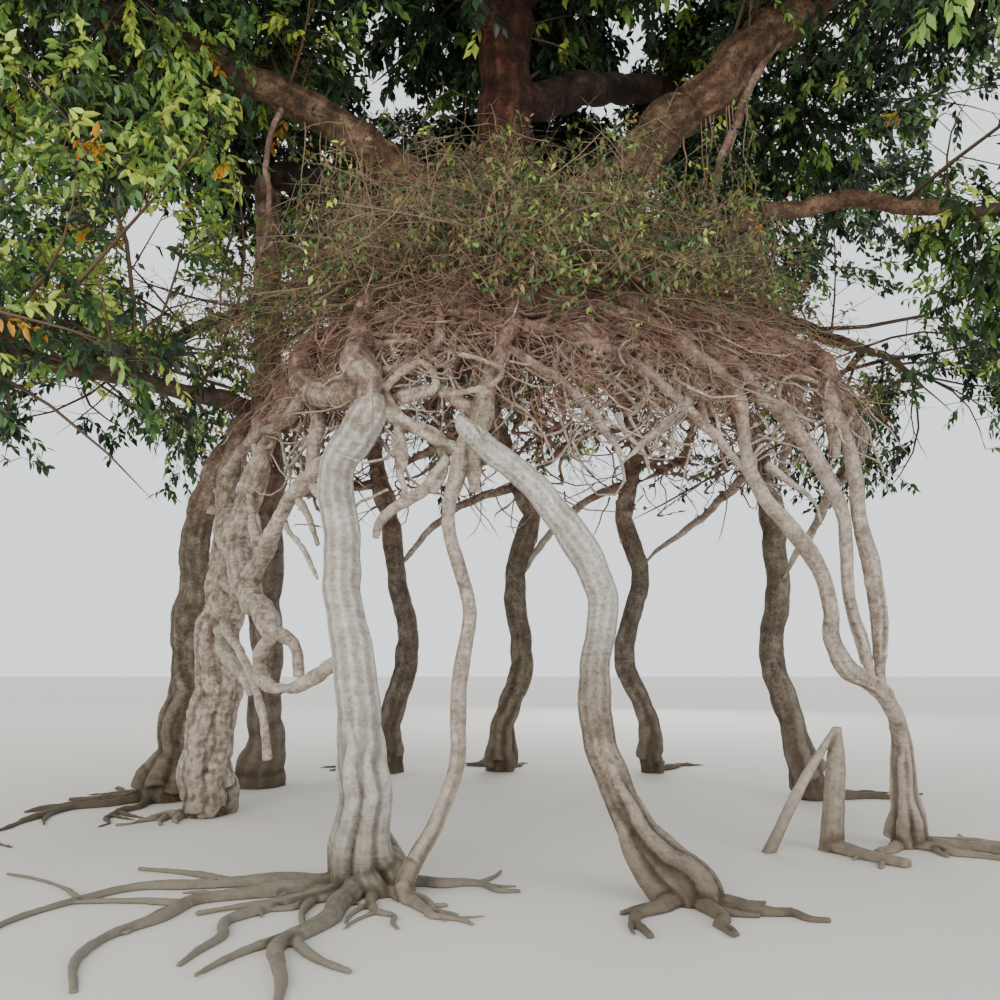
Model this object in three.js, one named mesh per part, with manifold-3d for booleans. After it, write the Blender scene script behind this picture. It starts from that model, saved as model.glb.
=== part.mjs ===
// A banyan tree whose trunk is perched on a hollow cage of its own roots.
//
// Frame: millimetres, +Z up, -Y towards the viewer, origin on the flat cut under the main stem at
// ground level. The roots once grew around something that is gone, so they follow the faces of an
// empty hollow: upright walls below, a low dome above. Stems climb the walls from the ground,
// shoulder roots cross the dome, the trunk stands on top, and boughs carry masses of foliage.

import * as THREE from "three";
import { mergeVertices } from "three/addons/utils/BufferGeometryUtils.js";
import Module from "manifold-3d";

const wasm = await Module();
wasm.setup();
const { Manifold, Mesh: SolidMesh } = wasm;

// Clearance between neighbouring pieces, the grid that vertices are snapped to, the size of the
// slivers that are taken out, and the size of those in foliage, which stands well clear.
const GAP = 0.3;
const GRID = 64;
const SLIVER = 0.1;
const COARSE = 0.8;

// The hollow: each wall's outward azimuth in degrees and its distance from the centre. A high
// roundness gives sharp corners.
const HOLLOW = {
  centre: new THREE.Vector2(800, 2300),
  walls: [
    [-78, 2200],
    [8, 2350],
    [92, 2100],
    [172, 2750],
    [-149, 2090],
  ],
  roundness: 7,
  eaves: 2700,
  domeRise: 1450,
  domeArc: 3000,
};

const TRUNK_AXIS = new THREE.Vector2(800, 2300);

// The crown: an upright ellipsoid with a ragged underside that hangs lowest at the rim and is open
// towards the viewer, where the boughs show. Over the low left bough it hangs further in: by how
// much rimStart and rimEnd are less there.
const CROWN = {
  centre: new THREE.Vector3(900, 2300, 6900),
  reach: new THREE.Vector3(7600, 7000, 5000),
  rimHeight: 2300,
  vaultHeight: 6200,
  rimStart: 0.36,
  rimEnd: 0.62,
  lowLeft: { start: 0.16, end: 0.24 },
};

const BARK = { pale: "#a39c8c", grey: "#857c6d", red: "#6d4535", twig: "#6b5a48" };
const LEAF = { dark: "#2f4a26", mid: "#41602c", bright: "#6d8a2c" };

const rad = THREE.MathUtils.degToRad;

function vec(x, y, z) {
  return new THREE.Vector3(x, y, z);
}

// Seeded random numbers, so that every build grows the same tree.
function seeded(seed) {
  let state = seed >>> 0;
  return () => {
    state = (state + 0x6d2b79f5) >>> 0;
    let t = state;
    t = Math.imul(t ^ (t >>> 15), t | 1);
    t ^= t + Math.imul(t ^ (t >>> 7), t | 61);
    return ((t ^ (t >>> 14)) >>> 0) / 4294967296;
  };
}

function hollowRadius(azimuth) {
  const p = HOLLOW.roundness;
  const sum = HOLLOW.walls.reduce((total, [wall, distance]) => {
    const facing = Math.max(0, Math.cos(rad(azimuth - wall)));
    return total + (facing / distance) ** p;
  }, 0);
  return sum ** (-1 / p);
}

// A point on the hollow's surface. climb is the way up the wall and then over the dome.
function onHollow(azimuth, climb, standOff) {
  const angle = Math.max(0, climb - HOLLOW.eaves) / HOLLOW.domeArc * (Math.PI / 2);
  const out = hollowRadius(azimuth) * Math.cos(angle) + standOff * Math.cos(angle);
  const height = Math.min(climb, HOLLOW.eaves) + (HOLLOW.domeRise + standOff) * Math.sin(angle);
  return vec(
    HOLLOW.centre.x + out * Math.cos(rad(azimuth)),
    HOLLOW.centre.y + out * Math.sin(rad(azimuth)),
    height,
  );
}

// Turns rows of [azimuth, climb, stand-off, radius] into the stations of a limb.
function climbing(rows) {
  return rows.map(([azimuth, climb, standOff, radius]) => ({
    point: onHollow(azimuth, climb, standOff),
    radius,
  }));
}

// Turns rows of [x, y, z, radius] into the stations of a limb.
function free(rows) {
  return rows.map(([x, y, z, radius]) => ({ point: vec(x, y, z), radius }));
}

function solidOf(geometry) {
  geometry.deleteAttribute("normal");
  geometry.deleteAttribute("uv");
  const position = geometry.getAttribute("position");
  for (let i = 0; i < position.array.length; i++) {
    position.array[i] = Math.round(position.array[i] * GRID) / GRID;
  }
  const merged = mergeVertices(geometry, 0.5 / GRID);
  return new Manifold(
    new SolidMesh({
      numProp: 3,
      vertProperties: merged.getAttribute("position").array,
      triVerts: new Uint32Array(merged.index.array),
    }),
  );
}

// A tapering limb: a cylinder whose rings are bent onto a smooth curve through the stations.
// grow thickens it all round, which makes the guard that keeps neighbours clear.
function limb(stations, { sides = 8, steps = 8, lobes = 0, lobeDepth = 0 } = {}, grow = 0) {
  const curve = new THREE.CatmullRomCurve3(
    stations.map((s) => s.point),
    false,
    "centripetal",
  );
  const frames = curve.computeFrenetFrames(steps, false);
  const geometry = new THREE.CylinderGeometry(1, 1, 1, sides, steps);
  const position = geometry.getAttribute("position");
  for (let i = 0; i < position.count; i++) {
    const along = position.getY(i) + 0.5;
    const ring = Math.round(along * steps);
    const across = vec(position.getX(i), 0, position.getZ(i));
    const angle = Math.atan2(across.z, across.x);
    const place = curve.getUtoTmapping(along) * (stations.length - 1);
    const from = Math.min(stations.length - 2, Math.floor(place));
    const bare = THREE.MathUtils.lerp(
      stations[from].radius,
      stations[from + 1].radius,
      place - from,
    );
    const radius = bare * (1 + lobeDepth * Math.cos(lobes * angle)) + grow;
    const end = along < 0.001 ? -grow : along > 0.999 ? grow : 0;
    const at = curve
      .getPointAt(along)
      .addScaledVector(frames.tangents[ring], end)
      .addScaledVector(frames.binormals[ring], across.x * radius)
      .addScaledVector(frames.normals[ring], across.z * radius);
    position.setXYZ(i, at.x, at.y, at.z);
  }
  return solidOf(geometry);
}

const tree = new THREE.Group();
// Every placed piece: its name, its solid, and its guard, which is the same limbs grown by GAP.
const placed = [];
// Points along every limb, with the limb's radius there, which foliage keeps clear of.
const limbPoints = [];

function boxesMeet(a, b) {
  return [0, 1, 2].every((k) => a.min[k] <= b.max[k] && b.min[k] <= a.max[k]);
}

// Keeps the largest body, without the slivers that joining leaves.
function largestBody(solid) {
  const [largest] = solid.decompose().sort((a, b) => b.volume() - a.volume());
  return largest.asOriginal().simplify(SLIVER);
}

function clearOfPlaced(solid) {
  return placed.reduce(
    (kept, other) =>
      boxesMeet(kept.boundingBox(), other.guard.boundingBox()) ? kept.subtract(other.guard) : kept,
    solid,
  );
}

function addMesh(name, solid, colour, roughness) {
  const made = solid.getMesh();
  const vertices = new Float32Array(made.numVert * 3);
  for (let i = 0; i < made.numVert; i++) {
    vertices.set(made.vertProperties.subarray(i * made.numProp, i * made.numProp + 3), i * 3);
  }
  const geometry = new THREE.BufferGeometry()
    .setAttribute("position", new THREE.BufferAttribute(vertices, 3))
    .setIndex(new THREE.BufferAttribute(made.triVerts, 1));
  geometry.computeVertexNormals();
  const material = new THREE.MeshStandardMaterial({ color: colour, roughness, metalness: 0 });
  const mesh = new THREE.Mesh(geometry, material);
  mesh.name = name;
  tree.add(mesh);
}

// The dome's inside, which nothing may enter.
function domeSpace() {
  const { centre, walls, eaves, domeRise } = HOLLOW;
  const wide = walls.reduce((total, [, distance]) => total + distance, 0) / walls.length;
  const geometry = new THREE.SphereGeometry(1, 20, 14);
  geometry.rotateX(Math.PI / 2);
  geometry.scale(wide, wide, domeRise);
  geometry.translate(centre.x, centre.y, eaves);
  return solidOf(geometry);
}

// Joins a node's limbs into one solid, cuts it off at ground level and keeps it clear of the rest.
function addLimbs(name, limbs, colour, hollowed = false) {
  const grown = Manifold.union(limbs.map((l) => limb(l.stations, l.shape)));
  const joined = hollowed ? grown.subtract(domeSpace()) : grown;
  const guard = Manifold.union(limbs.map((l) => limb(l.stations, l.shape, GAP)));
  const solid = largestBody(clearOfPlaced(joined.trimByPlane([0, 0, 1], 0)));
  placed.push({ name, solid, guard });
  for (const l of limbs) {
    const curve = new THREE.CatmullRomCurve3(l.stations.map((s) => s.point));
    const widest = Math.max(...l.stations.map((s) => s.radius));
    const count = Math.ceil(curve.getLength() / 120);
    for (const point of curve.getSpacedPoints(count)) limbPoints.push({ point, radius: widest });
  }
  addMesh(name, solid, colour, 0.9);
}

// Roots that run out over the ground from a foot. Each row is [azimuth, length, radius, bend].
function groundRoots(foot, rows) {
  return rows.map(([azimuth, length, radius, bend]) => {
    const shares = [0, 0.3, 0.65, 1];
    const stations = shares.map((share) => {
      const turned = rad(azimuth + bend * share * share);
      return {
        point: vec(
          foot.x + length * share * Math.cos(turned),
          foot.y + length * share * Math.sin(turned),
          radius * (share === 0 ? 2.2 : 0.35 * (1 - share)),
        ),
        radius: radius * (1 - 0.72 * share),
      };
    });
    return { stations, shape: { sides: 4, steps: 3 } };
  });
}

// The trunk, on top of the cage. Its foot flares out over the dome in ridges.
const TRUNK_ROWS = [
  [0, 0, 3900, 1000],
  [0, 0, 4100, 800],
  [0, 0, 4330, 520],
  [0, 0, 4700, 345],
  [-20, 0, 5500, 270],
  [-30, -20, 6600, 245],
  [20, -60, 7700, 215],
  [60, 0, 8600, 165],
];

addLimbs(
  "trunk",
  [
    {
      stations: free(
        TRUNK_ROWS.map(([dx, dy, z, radius]) => [TRUNK_AXIS.x + dx, TRUNK_AXIS.y + dy, z, radius]),
      ),
      shape: { sides: 15, steps: 9, lobes: 5, lobeDepth: 0.12 },
    },
  ],
  BARK.red,
  true,
);

// Stems that climb from the ground to the eaves, as rows of [azimuth, climb, stand-off, radius].
// roots are the surface roots at the foot, and limbs are side roots fused to the stem.
const STEMS = [
  {
    name: "main_stem",
    colour: BARK.pale,
    sides: 10,
    rows: [
      [250.9, 0, 100, 235],
      [251.3, 300, 165, 176],
      [251, 620, 195, 156],
      [250, 1020, 200, 142],
      [248.8, 1360, 200, 132],
      [247.6, 1650, 200, 126],
      [246.8, 2050, 200, 130],
      [248.4, 2560, 190, 146],
    ],
    roots: [
      [256, 1700, 68, 8],
      [220, 1400, 52, 26],
      [190, 1800, 60, 52],
      [168, 2000, 52, 44],
      [318, 850, 50, -10],
      [12, 850, 52, -20],
    ],
  },
  {
    name: "thin_front_stem",
    colour: BARK.pale,
    sides: 7,
    rows: [
      [257, 0, 300, 66],
      [260, 350, 190, 52],
      [262.2, 680, 100, 55],
      [262.6, 1120, 85, 50],
      [263.6, 1560, 80, 46],
      [260.8, 2080, 80, 44],
      [262.5, 2480, 85, 48],
    ],
    roots: [[300, 600, 40, 10]],
  },
  {
    name: "bent_front_stem",
    colour: BARK.pale,
    sides: 10,
    rows: [
      [289.5, 0, 560, 178],
      [286.6, 190, 450, 144],
      [283, 480, 350, 125],
      [281.3, 820, 250, 111],
      [281.7, 1260, 180, 100],
      [282.4, 1660, 165, 101],
      [278.6, 1990, 160, 104],
      [271, 2320, 150, 86],
      [264, 2580, 135, 72],
    ],
    roots: [
      [320, 700, 60, 10],
      [285, 600, 55, -10],
      [215, 700, 60, 25],
    ],
  },
  {
    name: "right_front_stem",
    colour: BARK.pale,
    sides: 8,
    rows: [
      [334.8, 0, 190, 142],
      [332.4, 370, 180, 88],
      [329.6, 740, 160, 68],
      [326.5, 900, 150, 66],
      [322.4, 1080, 142, 68],
      [318.2, 1190, 136, 66],
      [316.4, 1340, 132, 58],
      [316.4, 1620, 130, 51],
      [315.2, 1830, 127, 56],
      [312, 2050, 122, 58],
      [308.2, 2240, 120, 54],
      [306.4, 2490, 110, 48],
      [306, 2740, 105, 46],
      [306, 2960, 100, 50],
    ],
    roots: [
      [340, 1000, 58, -16],
      [300, 700, 48, 18],
      [225, 800, 50, 12],
      [10, 800, 50, -10],
    ],
  },
  {
    name: "right_inner_stem",
    colour: BARK.pale,
    sides: 8,
    rows: [
      [321.4, 1130, 150, 46],
      [320.4, 1320, 165, 47],
      [318.8, 1640, 160, 42],
      [318.9, 1960, 150, 47],
      [318.7, 2230, 140, 53],
      [317.4, 2400, 130, 56],
      [314.6, 2610, 120, 54],
      [310.8, 2900, 112, 52],
    ],
    roots: [],
  },
  {
    name: "right_outer_stem",
    colour: BARK.grey,
    sides: 8,
    rows: [
      [323.4, 1060, 150, 52],
      [322.7, 1280, 190, 55],
      [322, 1600, 205, 62],
      [321.4, 1900, 195, 63],
      [320.9, 2120, 178, 58],
      [321, 2440, 150, 54],
      [320.4, 2680, 132, 54],
      [318.9, 2880, 122, 58],
    ],
    roots: [],
  },
  {
    name: "left_outer_stem",
    colour: BARK.grey,
    sides: 10,
    rows: [
      [168, 0, 600, 290],
      [168.8, 340, 470, 210],
      [169.6, 900, 400, 176],
      [170.2, 1600, 380, 162],
      [171.2, 2350, 360, 142],
      [172.2, 2800, 260, 116],
    ],
    roots: [
      [200, 1100, 75, 20],
      [222, 2000, 48, 38],
      [262, 1300, 42, 8],
      [150, 900, 60, -12],
    ],
  },
  {
    name: "left_inner_stem",
    colour: BARK.pale,
    sides: 9,
    rows: [
      [182, 0, 170, 250],
      [184, 500, 150, 208],
      [186, 950, 150, 198],
      [190, 1460, 140, 178],
      [196, 1850, 120, 150],
      [204, 2300, 110, 112],
      [211, 2650, 100, 88],
    ],
    roots: [[215, 700, 55, 12]],
    limbs: [
      { rows: [
        [190, 1500, 150, 110], [187.5, 2050, 150, 96], [185, 2640, 140, 88],
      ], sides: 7, steps: 5 },
      { rows: [
        [196, 1820, 120, 90], [214, 1640, 150, 62], [228, 1420, 180, 52], [224, 1230, 180, 46],
        [236, 1060, 190, 42], [244.5, 1190, 160, 38], [247.3, 1270, 170, 34],
      ], sides: 6, steps: 11 },
      { rows: [
        [200, 1900, 110, 85], [214, 1820, 140, 70], [224, 1980, 160, 60], [232, 2200, 160, 56],
        [241, 2410, 150, 58], [246, 2500, 150, 60],
      ], sides: 6, steps: 8 },
    ],
  },
  {
    name: "back_stem_left",
    colour: BARK.grey,
    sides: 8,
    rows: [
      [118, 0, 420, 190], [119, 500, 260, 140], [116, 1300, 150, 124], [119, 2100, 130, 112],
      [121, 2750, 110, 92],
    ],
    roots: [[100, 900, 55, 14], [140, 1000, 55, -12]],
  },
  {
    name: "back_stem_middle",
    colour: BARK.grey,
    sides: 8,
    rows: [
      [92, 0, 520, 220], [91, 450, 330, 160], [86, 1200, 170, 138], [88, 2000, 140, 128],
      [83, 2750, 120, 104],
    ],
    roots: [[110, 1100, 62, -14], [75, 1000, 60, 12], [50, 700, 45, 16]],
  },
  {
    name: "back_stem_right",
    colour: BARK.grey,
    sides: 8,
    rows: [
      [58, 0, 420, 180], [57, 500, 250, 132], [61, 1250, 150, 118], [57, 2050, 130, 108],
      [60, 2750, 110, 90],
    ],
    roots: [[40, 1000, 55, 14], [80, 900, 50, -12]],
  },
  {
    name: "right_stem",
    colour: BARK.grey,
    sides: 8,
    rows: [
      [14, 0, 420, 200], [13, 480, 270, 142], [17, 1250, 150, 124], [12, 2000, 135, 116],
      [15, 2750, 115, 96],
    ],
    roots: [[0, 1100, 60, 14], [35, 900, 52, -12]],
  },
];

// Each stem that stands on the ground is drawn on below it, so that its foot is cut off flat.
const BURIED = 150;

for (const stem of STEMS) {
  const [azimuth, climb, standOff, radius] = stem.rows[0];
  const foot = onHollow(azimuth, 0, standOff);
  const below = climb === 0 ? [[azimuth, -BURIED, standOff, radius]] : [];
  const steps = Math.round(stem.rows.length * 1.3) + below.length;
  addLimbs(
    stem.name,
    [
      { stations: climbing([...below, ...stem.rows]), shape: { sides: stem.sides, steps } },
      ...groundRoots(foot, stem.roots),
      ...(stem.limbs ?? []).map(({ rows, sides, steps: side }) => ({
        stations: climbing(rows),
        shape: { sides, steps: side },
      })),
    ],
    stem.colour,
  );
}

// A pair of snapped roots that lean together beside the right front stem.
addLimbs(
  "broken_roots",
  [
    { stations: free([
      [2900, 900, -40, 85], [2950, 930, 300, 72], [2990, 950, 600, 60], [3005, 950, 790, 34],
    ]), shape: { sides: 7, steps: 5 } },
    { stations: free([
      [2460, 840, -30, 44], [2740, 900, 430, 36], [2985, 945, 765, 26],
    ]), shape: { sides: 6, steps: 4 } },
    { stations: free([
      [2900, 880, 30, 60], [3050, 620, 12, 46], [3200, 420, 10, 40],
    ]), shape: { sides: 5, steps: 3 } },
  ],
  BARK.pale,
);

// Shoulder roots: each runs from a stem's top over the dome to the trunk's foot, and sends side
// roots across the dome that end on its neighbours. Rows are [azimuth, climb, stand-off, radius].
const SHOULDERS = [
  {
    name: "front_left_shoulder",
    colour: BARK.pale,
    main: [
      [248.8, 2500, 190, 122], [246.6, 3100, 150, 94], [243, 3600, 120, 84],
      [236, 4400, 110, 80], [236, 5050, 100, 88],
    ],
    sides: [
      [
        [248, 2600, 180, 110], [238, 2900, 150, 112], [229, 3350, 130, 98], [222, 4000, 120, 84],
        [226, 4700, 110, 70],
      ],
      [[248, 2760, 140, 80], [254.5, 2640, 90, 50], [259, 2560, 80, 44], [262.5, 2420, 80, 40]],
      [
        [247, 3000, 120, 60], [253, 3080, 80, 46], [258, 3300, 80, 42], [257, 3700, 80, 36],
        [250, 4200, 90, 40],
      ],
      [[254, 2660, 90, 46], [256.5, 2380, 80, 44], [253.5, 2180, 80, 42], [250.5, 2010, 70, 40]],
      [[229, 3300, 110, 70], [220, 2950, 90, 52], [212, 2700, 90, 46]],
    ],
  },
  {
    name: "front_right_shoulder",
    colour: BARK.pale,
    main: [
      [264.5, 2540, 110, 64], [266, 2900, 90, 58], [270, 3500, 90, 56], [266, 4300, 95, 62],
      [262, 5000, 100, 72],
    ],
    sides: [
      [[265, 2700, 90, 46], [258, 2900, 70, 38], [252, 2820, 70, 36], [249, 2700, 80, 34]],
      [[268, 3300, 80, 44], [278, 3000, 70, 38], [288.7, 2440, 60, 30]],
      [
        [269, 3600, 80, 46], [281, 3500, 70, 40], [293, 3150, 60, 36], [301.3, 2700, 60, 32],
        [310, 2240, 70, 32],
      ],
      [[267, 4000, 80, 46], [280, 4100, 80, 40], [292, 3900, 80, 38], [302, 3500, 80, 36]],
    ],
  },
  {
    name: "right_front_shoulder",
    colour: BARK.pale,
    main: [
      [306, 2940, 100, 54], [302.5, 3260, 100, 56], [296, 3900, 100, 62], [296, 4500, 100, 72],
      [300, 5080, 100, 82],
    ],
    sides: [
      [[303, 3200, 90, 50], [297, 2820, 60, 36], [291, 2580, 55, 32], [287, 2420, 50, 26]],
      [[299, 3600, 100, 52], [306, 3300, 95, 56], [310.8, 2880, 112, 54]],
      [[297, 4200, 90, 52], [314, 4000, 90, 50], [326, 3500, 90, 46], [333, 3000, 90, 44]],
    ],
  },
  {
    name: "right_shoulder",
    colour: BARK.grey,
    main: [
      [318.9, 2860, 122, 60], [323, 3350, 110, 66], [333, 3900, 105, 72], [332, 4500, 100, 76],
      [330, 5080, 100, 84],
    ],
    sides: [
      [[321, 3100, 100, 56], [334, 2850, 90, 50], [347, 2500, 90, 44], [356, 2000, 90, 38]],
      [[332, 3700, 95, 54], [345, 3500, 90, 50], [358, 3150, 90, 46], [8, 2850, 90, 42]],
    ],
  },
  {
    name: "right_back_shoulder",
    colour: BARK.grey,
    main: [[15, 2780, 110, 92], [12, 3400, 105, 88], [8, 4100, 100, 84], [6, 5080, 100, 84]],
    sides: [
      [[12, 3200, 95, 54], [26, 3000, 90, 48], [40, 2750, 90, 44], [52, 2400, 90, 38]],
      [[9, 4000, 95, 52], [28, 3900, 90, 48], [44, 3500, 90, 44], [56, 3200, 90, 40]],
    ],
  },
  {
    name: "back_right_shoulder",
    colour: BARK.grey,
    main: [[60, 2780, 110, 88], [56, 3400, 105, 84], [50, 4200, 100, 82], [52, 5080, 100, 84]],
    sides: [
      [[57, 3200, 95, 52], [68, 3000, 90, 46], [78, 2550, 90, 40], [84, 2200, 90, 36]],
      [[51, 4000, 95, 52], [68, 3800, 90, 46], [80, 3400, 90, 42]],
    ],
  },
  {
    name: "back_middle_shoulder",
    colour: BARK.grey,
    main: [[83, 2780, 120, 100], [88, 3400, 110, 92], [96, 4200, 100, 86], [98, 5080, 100, 86]],
    sides: [
      [[87, 3200, 100, 56], [99, 3000, 90, 48], [109, 2700, 90, 42], [116, 2300, 90, 36]],
      [[94, 4000, 95, 54], [110, 3800, 90, 48], [120, 3400, 90, 42]],
    ],
  },
  {
    name: "back_left_shoulder",
    colour: BARK.grey,
    main: [[121, 2780, 110, 90], [126, 3400, 105, 86], [132, 4200, 100, 84], [140, 5080, 100, 84]],
    sides: [
      [[124, 3200, 95, 54], [138, 3050, 90, 48], [152, 2800, 90, 44], [164, 2500, 110, 40]],
      [[131, 4000, 95, 52], [148, 3900, 90, 48], [162, 3500, 90, 46], [172, 3100, 110, 42]],
    ],
  },
  {
    name: "left_shoulder",
    colour: BARK.grey,
    main: [[172.2, 2820, 250, 112], [174, 3300, 150, 100], [178, 4000, 115, 92], [184, 5060, 100, 88]],
    sides: [
      [
        [186, 2650, 140, 84], [187, 3150, 120, 82], [191, 3800, 110, 78], [193, 4500, 100, 72],
        [188, 5000, 100, 70],
      ],
      [[174, 3200, 120, 60], [180, 3000, 110, 56], [187, 2850, 110, 52]],
      [[190, 3500, 100, 56], [202, 3200, 90, 50], [210, 2800, 90, 52], [211, 2600, 90, 54]],
      [[193, 4100, 95, 52], [206, 3800, 90, 48], [220, 3300, 90, 44]],
    ],
  },
];

for (const shoulder of SHOULDERS) {
  const strand = (rows, sides) => ({
    stations: climbing(rows),
    shape: { sides, steps: Math.round(rows.length * 1.25) },
  });
  addLimbs(
    shoulder.name,
    [strand(shoulder.main, 6), ...shoulder.sides.map((rows) => strand(rows, 4))],
    shoulder.colour,
  );
}

// Boughs, as rows of [x, y, z, radius] from inside the trunk to the tip.
const BOUGHS = [
  { name: "bough_right_high", rows: [
    [800, 2300, 4650, 250], [1710, 2200, 5430, 225], [2660, 1900, 6260, 200],
    [3380, 1700, 6850, 178], [4300, 1400, 7350, 120],
  ] },
  { name: "bough_left_high", rows: [
    [800, 2300, 4750, 230], [-250, 2000, 5510, 172], [-840, 1800, 5860, 150],
    [-1400, 1600, 6060, 134], [-2300, 1300, 6450, 100],
  ] },
  { name: "bough_right_low", rows: [
    [800, 2420, 4420, 160], [2000, 2450, 5060, 104], [2550, 2320, 5070, 92],
    [3900, 2100, 5230, 80], [4700, 1900, 5000, 68],
  ] },
  { name: "bough_left_low", rows: [
    [-1300, 1950, 3250, 90], [-1750, 1600, 3330, 72], [-2400, 1000, 3330, 62],
    [-2850, 650, 3400, 52],
  ] },
  { name: "bough_back_left", rows: [
    [800, 2300, 5350, 210], [-500, 3050, 5950, 170], [-1800, 3720, 6350, 145],
    [-2700, 4300, 6850, 105],
  ] },
  { name: "bough_back_low_left", rows: [
    [800, 2300, 4500, 160], [-700, 3100, 5000, 115], [-2000, 4150, 5050, 95],
    [-3000, 4500, 4800, 72],
  ] },
  { name: "bough_back_low_right", rows: [
    [800, 2300, 4900, 170], [2100, 3200, 5100, 125], [3400, 4000, 5000, 100],
    [4500, 4300, 4700, 74],
  ] },
  { name: "bough_back", rows: [
    [800, 2300, 5800, 210], [900, 3500, 6700, 165], [950, 4700, 7150, 125],
    [950, 5500, 7250, 100],
  ] },
  { name: "bough_back_right", rows: [
    [800, 2300, 6300, 190], [2000, 3100, 7000, 150], [3000, 3900, 7400, 120],
    [3700, 4400, 7550, 96],
  ] },
  { name: "bough_front_right", rows: [
    [820, 2260, 7250, 150], [1700, 1250, 7700, 128], [2500, 200, 7950, 108],
    [3000, -500, 8000, 88],
  ] },
  { name: "bough_front", rows: [
    [840, 2270, 7650, 140], [770, 1100, 8100, 122], [650, -200, 8400, 104],
    [600, -1200, 8500, 86],
  ] },
  { name: "bough_front_left", rows: [
    [800, 2290, 6950, 155], [-100, 1350, 7500, 130], [-1000, 350, 7800, 110],
    [-1700, -400, 7850, 90],
  ] },
];

for (const { name, rows } of BOUGHS) {
  addLimbs(name, [{ stations: free(rows), shape: { sides: 6, steps: 6 } }], BARK.red);
}

// A prop root that stands behind the cage and holds up the back left bough, and aerial roots.
addLimbs(
  "prop_stem",
  [
    { stations: free([
      [-1620, 3800, -BURIED, 270], [-1620, 3800, 0, 270], [-1600, 3780, 380, 200],
      [-1650, 3740, 2200, 172], [-1700, 3700, 4400, 150], [-1740, 3700, 5300, 142],
      [-1790, 3715, 6300, 135],
    ]), shape: { sides: 8, steps: 7 } },
    ...groundRoots(vec(-1620, 3800, 0), [
      [110, 1100, 60, 16], [165, 1200, 60, -14], [215, 900, 50, 10],
    ]),
  ],
  BARK.grey,
);
const AERIAL_ROOTS = [
  { name: "aerial_root_right", rows: [
    [3270, 1740, 6760, 46], [2870, 1830, 6070, 42], [2650, 2000, 5460, 40],
    [2570, 2300, 5090, 42],
  ] },
  { name: "aerial_root_middle", rows: [
    [1950, 2120, 5640, 30], [1830, 1750, 5150, 24], [1760, 1600, 4600, 20],
    [1800, 1520, 4150, 16],
  ] },
  { name: "aerial_root_left", rows: [
    [-1150, 1690, 5960, 30], [-1220, 1600, 5300, 26], [-1180, 1560, 4700, 22],
    [-1230, 1500, 4250, 18],
  ] },
];
for (const { name, rows } of AERIAL_ROOTS) {
  addLimbs(name, [{ stations: free(rows), shape: { sides: 5, steps: 6 } }], BARK.twig);
}

// Masses of foliage. Each keeps to the part of the crown that lies nearest to its own centre.
const MASSES = [
  { name: "foliage_right_high", from: "bough_right_high", centre: [5500, 900, 8000], leaf: LEAF.mid },
  { name: "foliage_right_low", from: "bough_right_low", centre: [6100, 1700, 4800], leaf: LEAF.mid },
  { name: "foliage_left_high", from: "bough_left_high", centre: [-3700, 1300, 7100], leaf: LEAF.bright },
  { name: "foliage_left_low", from: "bough_left_low", centre: [-3700, 100, 3500], leaf: LEAF.dark },
  { name: "foliage_back_left", from: "bough_back_left", centre: [-3300, 5000, 7700], leaf: LEAF.mid },
  { name: "foliage_back_low_left", from: "bough_back_low_left",
    centre: [-4200, 4600, 4400], leaf: LEAF.bright },
  { name: "foliage_back_low_right", from: "bough_back_low_right",
    centre: [5600, 4700, 4300], leaf: LEAF.mid },
  { name: "foliage_back", from: "bough_back", centre: [900, 6700, 7000], leaf: LEAF.dark },
  { name: "foliage_back_right", from: "bough_back_right", centre: [4500, 5200, 7900], leaf: LEAF.dark },
  { name: "foliage_front_right", from: "bough_front_right", centre: [3800, -1600, 7500], leaf: LEAF.dark },
  { name: "foliage_front", from: "bough_front", centre: [600, -2500, 8500], leaf: LEAF.mid },
  { name: "foliage_front_left", from: "bough_front_left", centre: [-2700, -1500, 7300], leaf: LEAF.bright },
  { name: "foliage_top_left", from: "trunk", centre: [-1300, 1700, 9900], leaf: LEAF.mid },
  { name: "foliage_top_right", from: "trunk", centre: [2700, 1500, 10200], leaf: LEAF.mid },
  { name: "foliage_top_back", from: "trunk", centre: [700, 4400, 10000], leaf: LEAF.dark },
].map((m) => ({ ...m, centre: vec(...m.centre) }));

const MASS_RULE = {
  twigs: 5,
  twigRadii: [46, 22],
  leafShares: [0.46, 0.74, 0.98],
  leafLength: 1400,
  leafWidth: 700,
  leafThickness: 26,
  margin: 25,
};

function nearestMass(point) {
  let best = 0;
  MASSES.forEach((m, i) => {
    if (m.centre.distanceToSquared(point) < MASSES[best].centre.distanceToSquared(point)) best = i;
  });
  return best;
}

// The crown's space: inside the ellipsoid and above the ragged underside.
function inCrown(point) {
  const d = point.clone().sub(CROWN.centre).divide(CROWN.reach);
  if (d.lengthSq() > 1) return false;
  const out = Math.hypot(d.x, d.y);
  const left =
    THREE.MathUtils.smoothstep(-d.x, 0.2, 0.33) *
    (1 - THREE.MathUtils.smoothstep(Math.abs(d.y + 0.16), 0.16, 0.3));
  const hang = THREE.MathUtils.smoothstep(
    out,
    CROWN.rimStart - CROWN.lowLeft.start * left,
    CROWN.rimEnd - CROWN.lowLeft.end * left,
  );
  const towardsViewer = THREE.MathUtils.smoothstep(-d.y, 0.25, 0.5);
  const floor = THREE.MathUtils.lerp(CROWN.vaultHeight, CROWN.rimHeight, hang * (1 - towardsViewer));
  return point.z > floor;
}

function inSpace(point, index, margin) {
  if (!inCrown(point)) return false;
  const own = MASSES[index].centre.distanceTo(point);
  return MASSES.every((m, i) => i === index || m.centre.distanceTo(point) > own + 2 * margin);
}

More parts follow.
